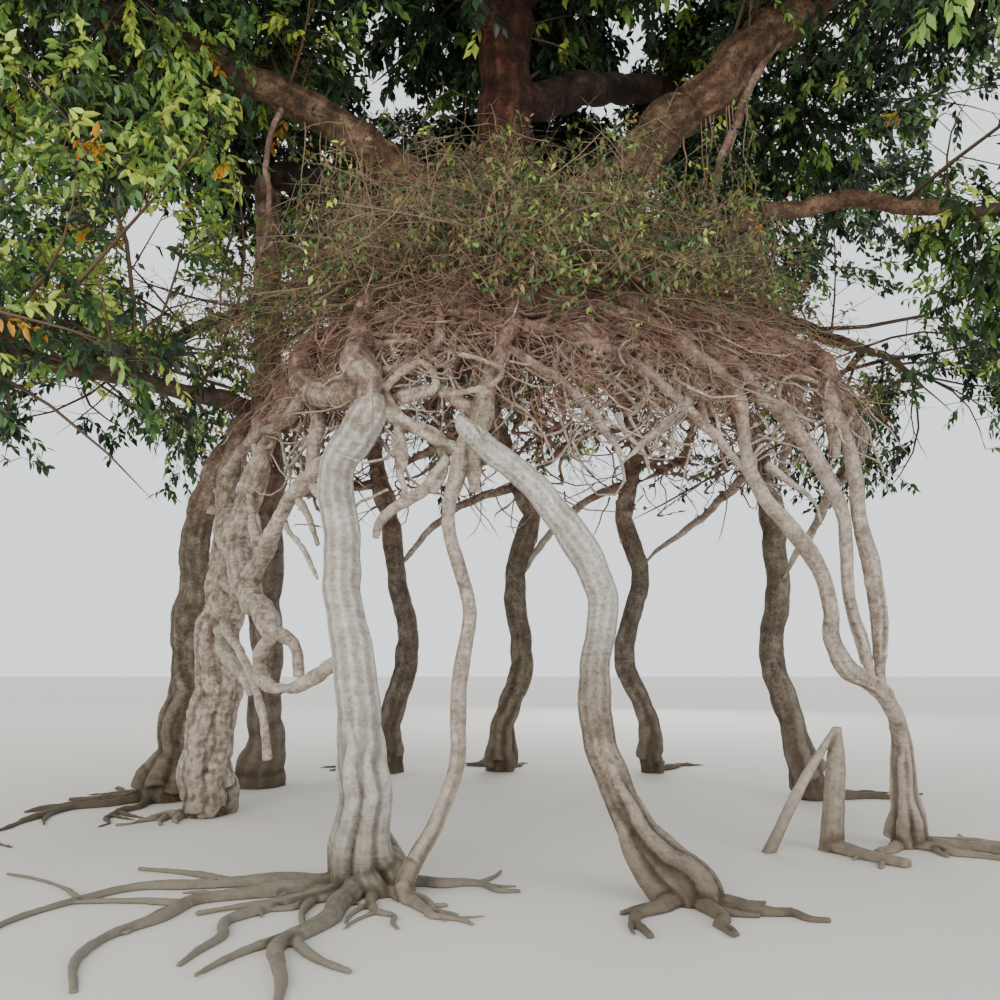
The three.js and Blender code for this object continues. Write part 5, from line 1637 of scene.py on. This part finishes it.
# How many twigs each mass's stem bears, how full its inside is, its leaf and the leaf's length.
FULLNESS = {
    "foliage_left_high": (46, 0.8, NEAR_LEAF, 0.1),
    "foliage_left_low": (48, 0.95, NEAR_LEAF, 0.1),
    "foliage_right_high": (44, 0.8, NEAR_LEAF, 0.1),
    "foliage_right_low": (44, 0.8, NEAR_LEAF, 0.1),
    "foliage_back_left": (54, 1, FAR_LEAF, 0.125),
    "foliage_back_low_left": (50, 0.7, FAR_LEAF, 0.11),
    "foliage_back": (72, 1, FAR_LEAF, 0.135),
    "foliage_back_right": (54, 0.9, FAR_LEAF, 0.12),
    "foliage_back_low_right": (50, 0.7, FAR_LEAF, 0.11),
    "foliage_top_back": (84, 1, FAR_LEAF, 0.14),
    "foliage_top_left": (66, 1, FAR_LEAF, 0.14),
    "foliage_top_right": (62, 1, FAR_LEAF, 0.135),
}
OTHER_FULLNESS = (32, 0.5, FAR_LEAF, 0.13)
print("a leaf is drawn up to", max(row[3] for row in FULLNESS.values()), "m long")

# %% [markdown]
# ## Sky between the leaves
#
# A crown is known by its gaps as much as by its leaves. A place that the camera sees in a gap
# bears no twig that would end there. The gap's edge is ragged by chance, or it would look punched.

# %% Gaps as the camera sees them
# Middle and half size of each gap in thousandths of the picture, and how much of the foliage there
# is missing.
SKY_GAPS = [
    (150, 255, 38, 68, 0.96), (205, 310, 52, 40, 0.75), (602, 112, 8, 9, 1),
    (68, 410, 62, 36, 0.95), (190, 382, 40, 26, 0.85), (95, 480, 100, 54, 0.8),
    (968, 125, 44, 50, 0.8), (845, 320, 60, 42, 0.92), (985, 505, 40, 66, 0.95),
    (300, 340, 24, 32, 0.95), (650, 65, 10, 10, 0.7), (885, 150, 14, 12, 1),
    (978, 243, 20, 18, 1), (945, 440, 66, 66, 0.85), (820, 405, 26, 44, 0.8),
    (920, 330, 60, 60, 0.35),
]
FOCAL = PICTURE * LENS / SENSOR


def in_sky_gap(places, draw):
    """Whether each place lies in a gap as seen by the camera, with a ragged edge."""
    offset = places - EYE
    ahead = offset[..., 1] * math.cos(LOOK_UP) + offset[..., 2] * math.sin(LOOK_UP)
    lift = offset[..., 2] * math.cos(LOOK_UP) - offset[..., 1] * math.sin(LOOK_UP)
    across = PICTURE / 2 + FOCAL * offset[..., 0] / np.maximum(ahead, 0.1)
    down = PICTURE / 2 - FOCAL * lift / np.maximum(ahead, 0.1)
    hidden = np.zeros(places.shape[:-1], bool)
    for x, y, half_wide, half_high, share in SKY_GAPS:
        far = np.hypot((across - x) / half_wide, (down - y) / half_high)
        missing = draw.uniform(0, 1, far.shape) < share
        hidden |= missing & (far + draw.normal(0, 0.22, far.shape) < 0.9)
    return hidden & (ahead > 1)


print(len(SKY_GAPS), "gaps of sky")

# %% [markdown]
# ## A mass's stem and main twigs
#
# Each mass grows as in the source: a stem carries on from the bough's tip to the mass's centre,
# and twigs spread from it as far as the mass's space goes. A third of them are shoots from the
# outer half of the bough itself, as on a bough that gets light from the side.


# %% The stem and the first order of twigs
def places_along(path, shares):
    """The places on a path at shares of its length."""
    return path[(len(path) * shares).astype(int), :3]


def mass_stem(bough, centre, index):
    """The stem from a limb's tip to a mass's centre, and that limb."""
    if bough:
        rows, thick = BOUGHS[bough], BOUGHS[bough][-1][3]
        tip = np.array(rows[-1][:3])
    else:
        rows, thick = TRUNK, 0.09
        tip = np.array(rows[-1][:3]) - [0, 0, 0.4]
    middle = tip * 0.45 + centre * 0.55 + [0, 0, 0.12]
    stem = smooth_path([(*tip, thick), (*middle, thick * 0.62), (*centre, thick * 0.36)], 0.1)
    return wander(stem, 3100 + index, 0.5), smooth_path(rows, 0.1)


def first_twigs(name, index, stem, limb, draw):
    """The main twigs of a mass and their lengths."""
    count, inner, _, _ = FULLNESS.get(name, OTHER_FULLNESS)
    ways = spread(count, draw.uniform(0, 6.28))
    starts = places_along(stem, draw.uniform(0.2, 0.99, count))
    shoots = count // 3
    picks = np.arange(shoots)
    if inner == 1:
        picks = draw.choice(np.flatnonzero(ways[:, 1] > 0), shoots, replace=False)
    nearest = 0.25 if name == "foliage_left_low" else 0.5
    starts[picks] = places_along(limb, draw.uniform(nearest, 0.98, shoots))
    outside = starts + 0.35 * ways
    reach = reach_of(lambda places: in_space(places, index), outside, ways, 4.6)
    lengths = np.minimum(reach + 0.25, 4.2)
    keep = (lengths > 0.6) & in_space(outside, index)
    keep &= ~in_sky_gap(starts + lengths[:, None] * ways, draw)
    starts, ways, lengths = starts[keep], ways[keep], lengths[keep]
    return twig_points(starts, ways, lengths, 0.07, draw, 6), lengths


print("main twigs are up to 4.2 m long")

# %% [markdown]
# ## Two more orders of twigs
#
# Main twigs bear side twigs, and those bear the end twigs that carry the leaves. End twigs thin
# out deep inside the crown, where a real one is bare for want of light.


# %% Side twigs, end twigs and the mass's wood
def second_twigs(first, lengths, index, draw):
    """The side twigs of the main twigs, and their lengths."""
    owner, shares, starts, ways = branch(first, 12, 0.2, 0.99, draw, 0.42, 0.06)
    lengths = 0.35 + 0.26 * lengths[owner] * (1.15 - shares)
    lengths = lengths * draw.uniform(0.7, 1.25, len(owner))
    twigs = twig_points(starts, ways, lengths, 0.1, draw, 3)
    keep = in_space(twigs[:, -1], index) & in_space(twigs[:, 1], index)
    keep &= ~in_wood(twigs[:, 1:]).any(1) & ~in_sky_gap(twigs[:, -1], draw)
    return twigs[keep], lengths[keep]


def end_twigs(second, inner, index, draw):
    """The end twigs, and the number of the side twig that bears each."""
    owner, _, starts, ways = branch(second, 5, 0.15, 1.0, draw, 0.5, 0.12)
    twigs = twig_points(starts, ways, draw.uniform(0.2, 0.42, len(owner)), 0.1, draw, 2)
    depth = np.linalg.norm((twigs[:, -1] - CROWN_CENTRE) / CROWN_REACH, axis=1)
    lit = draw.uniform(0, 1, len(twigs)) < inner + (1 - inner) * ease(depth, 0.3, 0.75)
    keep = in_space(twigs[:, -1], index) & ~in_wood(twigs[:, 1:]).any(1) & lit
    keep &= ~in_sky_gap(twigs[:, -1], draw)
    return twigs[keep], owner[keep]


def grow_mass(name, index):
    """A mass's end twigs, which of them are under the crown's top, its wood and its draws."""
    bough, centre = MASSES[name]
    inner = FULLNESS.get(name, OTHER_FULLNESS)[1]
    draw = np.random.default_rng(3000 + index)
    stem, limb = mass_stem(bough, np.array(centre), index)
    first, lengths = first_twigs(name, index, stem, limb, draw)
    first_radii = (0.010 + 0.006 * lengths)[:, None] * np.linspace(1, 0.25, 6)[None]
    second, lengths = second_twigs(first, lengths, index, draw)
    second_radii = (0.004 + 0.004 * lengths)[:, None] * np.linspace(1, 0.4, 3)[None]
    third, owner = end_twigs(second, inner, index, draw)
    low_second = under_top(second).all(1)
    low_third = low_second[owner] & under_top(third).all(1)
    while not under_top(first).all():
        first[..., 2] -= np.where(under_top(first), 0, 0.02)
    parts = [tube(stem, 7), thin_tubes(first, first_radii)]
    parts.append(thin_tubes(second[low_second], second_radii[low_second]))
    parts.append(thin_tubes(third[low_third], np.full((low_third.sum(), 2), 0.003)))
    return third, low_third, joined(parts), draw


print("each main twig bears 12 side twigs, and each of those 5 end twigs")

# %% [markdown]
# ## Sprays of leaves
#
# An end twig bears a spray of leaves that face up, more or less, and point on along it and down.
# One that would grow into a limb, or out of its mass's space, is left off. All leaves of a mass are
# one piece, and each spray takes one of the leaf colours.


# %% Leaves on twigs
def leaf_spray(twigs, draw, count, length, hang, shape, low=None, index=None):
    """Leaves along each end twig, and the spray that each belongs to."""
    owner, _, roots, ways = branch(twigs, count, 0.1, 1.0, draw, 0.42, hang)
    facing = unit(np.array([0, 0, 1.0]) + draw.normal(0, 0.45, (len(roots), 3)))
    lengths = length * draw.uniform(0.72, 1.2, len(roots))
    tips = roots + ways * lengths[:, None]
    keep = ~in_wood(tips)
    if index is not None:
        keep &= low[owner] & in_space(tips, index) & under_top(tips)
    leaves = leaves_at(roots[keep], ways[keep], facing[keep], lengths[keep], shape)
    return leaves, owner[keep]


def fine_piece(name, parts, nodes=()):
    """A piece of twigs or leaves that rides on the part and replaces the nodes, if any."""
    piece = mesh_object(name, *parts)
    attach(piece, "root")
    if nodes:
        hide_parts(*nodes)
    return piece


def colour_sprays(piece, owners, mix, draw, faces_each):
    """Gives every leaf of a spray the same one of the leaf colours."""
    for material in LEAF_MATERIALS:
        piece.data.materials.append(material)
    steps = np.cumsum(mix / mix.sum(1, keepdims=True), axis=1)
    picks = (draw.uniform(0, 1, len(mix))[:, None] > steps).sum(1)
    picks = picks.clip(0, len(LEAF_MATERIALS) - 1)
    per_face = np.repeat(picks[owners], faces_each).astype(np.int32)
    piece.data.polygons.foreach_set("material_index", per_face)
    piece.data.update()


print("a spray in the crown has up to", LEAVES_PER_TWIG, "leaves")

# %% [markdown]
# ## The crown
#
# Each mass becomes two pieces, its twigs and its leaves, and both replace the source's solid. Their
# faces are counted here, because this is where most of the tree's faces go.

# %% Grow the crown
leaf_total, twig_total = 0, 0
for index, name in enumerate(MASSES):
    _, _, shape, length = FULLNESS.get(name, OTHER_FULLNESS)
    twigs, low, wood, draw = grow_mass(name, index)
    piece = fine_piece(name + "_twigs", wood, [name])
    piece.data.materials.append(twig_bark)
    leaves, owners = leaf_spray(twigs, draw, LEAVES_PER_TWIG, length, 0.45, shape, low, index)
    piece = fine_piece(name + "_leaves", leaves, [name])
    colour_sprays(piece, owners, leaf_mix(twigs[:, -1]), draw, len(shape[1]))
    leaf_total += len(leaves[1])
    twig_total += len(wood[1])
    print(name, len(leaves[1]) // len(shape[1]), "leaves,", len(wood[1]), "twig faces")
print(leaf_total, "leaf faces and", twig_total, "twig faces")

# %% [markdown]
# ## The thickets over the dome
#
# Round the trunk's foot grows a tangle of dry twigs with small olive leaves, thick with leaves on
# the front right. It keeps to the source's four quarters and to its rule of stems from the trunk,
# twigs all along them and side twigs on those. One more order and the leaves are added here.


# %% The thickets' space and stems
THICKET_REACH = np.array([1.15, 1.15, 0.85])
THICKET_DOME = np.array([2.38, 2.3, 1.56])
# Distance from the trunk's axis, height and radius along a stem of the thickets.
THICKET_STEM = [(0.22, 4.8, 0.045), (0.7, 4.62, 0.036), (1.3, 4.36, 0.026), (2.0, 3.8, 0.014)]


def in_thicket(points, side):
    """Whether each point lies in one quarter, over the dome and under the boughs."""
    d = points - [*CENTRE, EAVES]
    beside = (d[..., 0] * side[0] > -0.14) & (d[..., 1] * side[1] > -0.14)
    high = (points[..., 2] > 3.3) & (points[..., 2] < 5.95)
    return beside & high & (((d / THICKET_DOME) ** 2).sum(-1) > 1)


def thicket_stems(side):
    """Stems that fan out from the trunk's foot over one quarter of the dome."""
    stems = []
    for angle in (10, 28, 46, 64, 82):
        turn = math.radians(angle)
        way = np.array([math.cos(turn) * side[0], math.sin(turn) * side[1]])
        rows = [(*(CENTRE + out * way), height, radius) for out, height, radius in THICKET_STEM]
        stems.append(smooth_path(rows, 0.05))
    return stems


print("each quarter has", len(thicket_stems((1, 1))), "stems")

# %% [markdown]
# ## Three orders of dry twigs
#
# The first twigs set out in all directions and bend outward over the dome. Where one would leave
# its quarter it stops short. The side twigs go more to the side than forward, which makes the
# matted look of a thicket.


# %% One quarter's twigs
def first_dry_twigs(stems, side, count, turn, draw):
    """Twigs that start along the stems of one quarter, and their lengths."""
    places = np.vstack([stem[3:, :3] for stem in stems])
    starts = places[draw.integers(0, len(places), count)] + draw.normal(0, 0.1, (count, 3))
    outward = np.linalg.norm(starts[:, :2] - CENTRE, axis=1)[:, None] / 2
    about = spread(count, turn) * THICKET_REACH
    ways = unit(about + [0, 0, 0.5] - outward * [0, 0, 0.8])
    wanted = draw.uniform(0.35, 1.3, count) * np.linalg.norm(about, axis=1)
    reach = reach_of(lambda places: in_thicket(places, side), starts, ways, 1.6)
    lengths = np.maximum(np.minimum(wanted, reach), 0.2)
    twigs = twig_points(starts, ways, lengths, 0.2, draw, 6)
    keep = in_thicket(twigs[:, 1:], side).all(1)
    return twigs[keep], lengths[keep]


def fitting(twigs, side):
    """The twigs that stay in their quarter and clear of the limbs."""
    return twigs[in_thicket(twigs, side).all(1) & ~in_wood(twigs[:, 1:]).any(1)]


def grow_thicket(side, count, turn, draw):
    """The wood of one quarter and its end twigs."""
    stems = thicket_stems(side)
    first, lengths = first_dry_twigs(stems, side, count, turn, draw)
    first_radii = (0.0035 + 0.004 * lengths)[:, None] * np.linspace(1, 0.3, 6)[None]
    _, _, starts, ways = branch(first, 9, 0.05, 1.0, draw, 0.3, 0.1)
    second = twig_points(starts, ways, draw.uniform(0.2, 0.6, len(starts)), 0.3, draw, 4)
    second = fitting(second, side)
    second_radii = np.full((len(second), 1), 0.0038) * np.linspace(1, 0.5, 4)[None]
    _, _, starts, ways = branch(second, 4, 0.1, 1.0, draw, 0.35, 0.15)
    third = twig_points(starts, ways, draw.uniform(0.1, 0.3, len(starts)), 0.1, draw, 2)
    third = fitting(third, side)
    parts = [tube(stem, 6) for stem in stems] + [thin_tubes(first, first_radii)]
    parts.append(thin_tubes(second, second_radii))
    parts.append(thin_tubes(third, np.full((len(third), 2), 0.0026)))
    return joined(parts), third


print("the thickets' end twigs are 5 mm thick")

# %% [markdown]
# ## The four thickets
#
# Most of the dry twigs have lost their leaves. On the front right six in ten still bear some, and
# that side shows as a green patch over the dome.

# %% Grow the thickets
# Each quarter's side of the trunk, how many twigs it has and what share of them bears leaves.
QUARTERS = {
    "thicket_front_left": ((-1, -1), 420, 0.3),
    "thicket_front_right": ((1, -1), 420, 0.62),
    "thicket_back_left": ((-1, 1), 170, 0.4),
    "thicket_back_right": ((1, 1), 170, 0.4),
}
SMALL_FACES = len(FAR_LEAF[1])
for k, (name, (side, count, leafy_share)) in enumerate(QUARTERS.items()):
    draw = np.random.default_rng(4000 + k)
    wood, twigs = grow_thicket(side, count, k, draw)
    piece = fine_piece(name + "_twigs", wood, [name])
    piece.data.materials.append(dry_bark)
    leafy = twigs[draw.uniform(0, 1, len(twigs)) < leafy_share]
    leaves, owners = leaf_spray(leafy, draw, 5, 0.056, 0.2, FAR_LEAF)
    piece = fine_piece(name + "_leaves", leaves, [name])
    colour_sprays(piece, owners, np.tile(THICKET_MIX, (len(leafy), 1)), draw, SMALL_FACES)
    print(name, len(wood[1]), "twig faces,", len(leaves[1]) // SMALL_FACES, "leaves")

# %% [markdown]
# ## Walks over the dome
#
# Between the thick roots lie hundreds of thin ones, and over them thousands of dry twigs, most of
# which hang down. Each is a short walk near the dome's surface that keeps turning a little, and all
# walks of a kind take each step together. Without them the dome would look swept.


# %% Walks that keep turning
LEGS = 6


def dome_walks(seed, count, azimuths, climbs, lengths, radii, offs, heading, scatter, turning):
    """Points and radii along thin tubes that wander over the dome from a compass heading."""
    draw = np.random.default_rng(seed)
    azimuth, climb = draw.uniform(*azimuths, count), draw.uniform(*climbs, count)
    way = heading + draw.normal(0, scatter, count)
    curl = draw.normal(0, turning, count)
    off, lift = draw.uniform(*offs, count), draw.normal(0, 0.03, count)
    step = draw.uniform(*lengths, count) / LEGS
    points = []
    for _ in range(LEGS + 1):
        points.append(on_hollow(azimuth, climb, np.maximum(off, 0.03)))
        around = np.maximum(np.hypot(*(points[-1][:, :2] - CENTRE).T), 0.4)
        azimuth = azimuth + np.degrees(step * np.cos(way) / around)
        climb = np.clip(climb + step * np.sin(way), 2.0, 5.6)
        way = way + 0.16 * curl + draw.normal(0, 0.3, count)
        off = off + lift + draw.normal(0, 0.02, count)
    points = np.stack(points, axis=1)
    thick = draw.uniform(*radii, count)[:, None] * np.linspace(1, 0.45, LEGS + 1)[None]
    keep = (points[..., 2] > 2.2).all(1)
    return points[keep], thick[keep]


print("a walk has", LEGS, "legs")

# %% [markdown]
# ## Fine rootlets and dry twigs on the dome
#
# Rootlets up to 32 mm thick lie close to the dome. The pale twigs stand off by up to 300 mm, and
# the reddish ones lie between. The three kinds are apart because each has its own bark.

# %% Rootlets, dry twigs and rust twigs
# The heading of a walk that sets out straight down, in radians.
DOWN = -1.57
ALL_ROUND = (0, 360)
# Neither a worn ridge nor a crevice in painted shade.
EVEN_WEAR_AND_CREVICE_SHADE = 0.55
# Each kind's bark and walks: seed, count, compass range, climbs, lengths, radii, stand-offs, which
# way they set out, how far that scatters and how much they curl.
DOME_KINDS = {
    "dome_rootlets": (dome_bark, [
        (5000, 460, ALL_ROUND, (2.9, 5.2), (0.4, 1.0), (0.006, 0.014), (0.03, 0.1), DOWN, 0.6, 1.4),
        (5001, 240, (228, 320), (2.5, 3.7), (0.3, 0.7), (0.008, 0.016), (0.04, 0.1), DOWN, 0.9, 2.6),
    ]),
    "dome_dry_twigs": (dry_bark, [
        (5002, 800, ALL_ROUND, (3.4, 5.5), (0.25, 0.7), (0.002, 0.004), (0.08, 0.3), DOWN, 0.45, 1.6),
        (5003, 900, (215, 330), (2.9, 5.2), (0.25, 0.7), (0.002, 0.004), (0.06, 0.26), DOWN, 0.45, 1.6),
    ]),
    "dome_rust_twigs": (rust_bark, [
        (5004, 800, ALL_ROUND, (3.2, 5.3), (0.25, 0.7), (0.002, 0.005), (0.03, 0.18), DOWN, 0.55, 1.8),
        (5005, 1200, (225, 340), (2.8, 5.0), (0.2, 0.6), (0.002, 0.005), (0.02, 0.18), DOWN, 0.6, 1.8),
    ]),
}
for name, (material, rows) in DOME_KINDS.items():
    parts = []
    for row in rows:
        points, thick = dome_walks(*row)
        parts.append(thin_tubes(points, thick, unit(points - [*CENTRE, 2.0])))
    piece = fine_piece(name, joined(parts))
    piece.data.materials.append(material)
    write_wear_and_crevice_shade(piece.data, np.full(len(piece.data.vertices), EVEN_WEAR_AND_CREVICE_SHADE, dtype=np.float32))
    print(name, len(piece.data.polygons), "faces")

# %% [markdown]
# ## Thin roots that hang from the boughs
#
# A banyan drops new roots from its boughs, thinner than a finger at first. Over a hundred hang
# down round the trunk, each from the underside of its bough, and sway a little. They end at least
# 4.5 m up, above the dome, as those in the picture do.

# %% Thin hanging roots
HANGING_FROM = [
    "bough_right_high", "bough_left_high", "bough_right_low", "bough_back", "bough_back_left",
]
LOWEST_END = 4.5

draw = np.random.default_rng(55)
rootlets, sprig_places = [], []
for k in range(130):
    limb = smooth_path(BOUGHS[draw.choice(HANGING_FROM)], 0.05)
    x, y, z, thick = limb[int(len(limb) * draw.uniform(0.12, 0.62))]
    top = z - 0.8 * thick
    length = min(draw.uniform(0.5, 2.0), top - LOWEST_END)
    if length < 0.3:
        continue
    steps = np.linspace(0, 1, 8)
    sway = 0.09 * length
    x_path = x + sway * wave(steps, 700 + k, 0.8) * steps
    y_path = y + sway * wave(steps, 800 + k, 0.8) * steps
    radius = draw.uniform(0.004, 0.01) * (1 - 0.5 * steps)
    rows = np.column_stack([x_path, y_path, top - length * steps, radius])
    path = smooth_path(rows, 0.12)
    rootlets.append(tube(path, 4))
    sprig_places.append(path[2:, :3])
piece = fine_piece("hanging_rootlets", joined(rootlets))
piece.data.materials.append(dry_bark)
print(len(rootlets), "thin hanging roots")

# %% [markdown]
# ## Small leaves on the hanging roots
#
# In the picture small leaves cling to these roots, of the same colours as in the thickets and in
# the shade. They sit on short sprigs that have no faces of their own: at this size nobody sees the
# stalk.

# %% Leaves on the hanging roots
places = np.repeat(np.vstack(sprig_places), 2, axis=0)
ways = unit(draw.normal(0, 1, places.shape) + [0, 0, -0.4])
ends = places + ways * draw.uniform(0.06, 0.16, (len(places), 1))
leaves, owners = leaf_spray(np.stack([places, ends], axis=1), draw, 4, 0.06, 0.3, FAR_LEAF)
piece = fine_piece("hanging_leaves", leaves)
hanging_mix = np.tile(THICKET_MIX + SHADED, (len(places), 1))
colour_sprays(piece, owners, hanging_mix, draw, SMALL_FACES)
print(len(leaves[1]) // SMALL_FACES, "leaves on them")
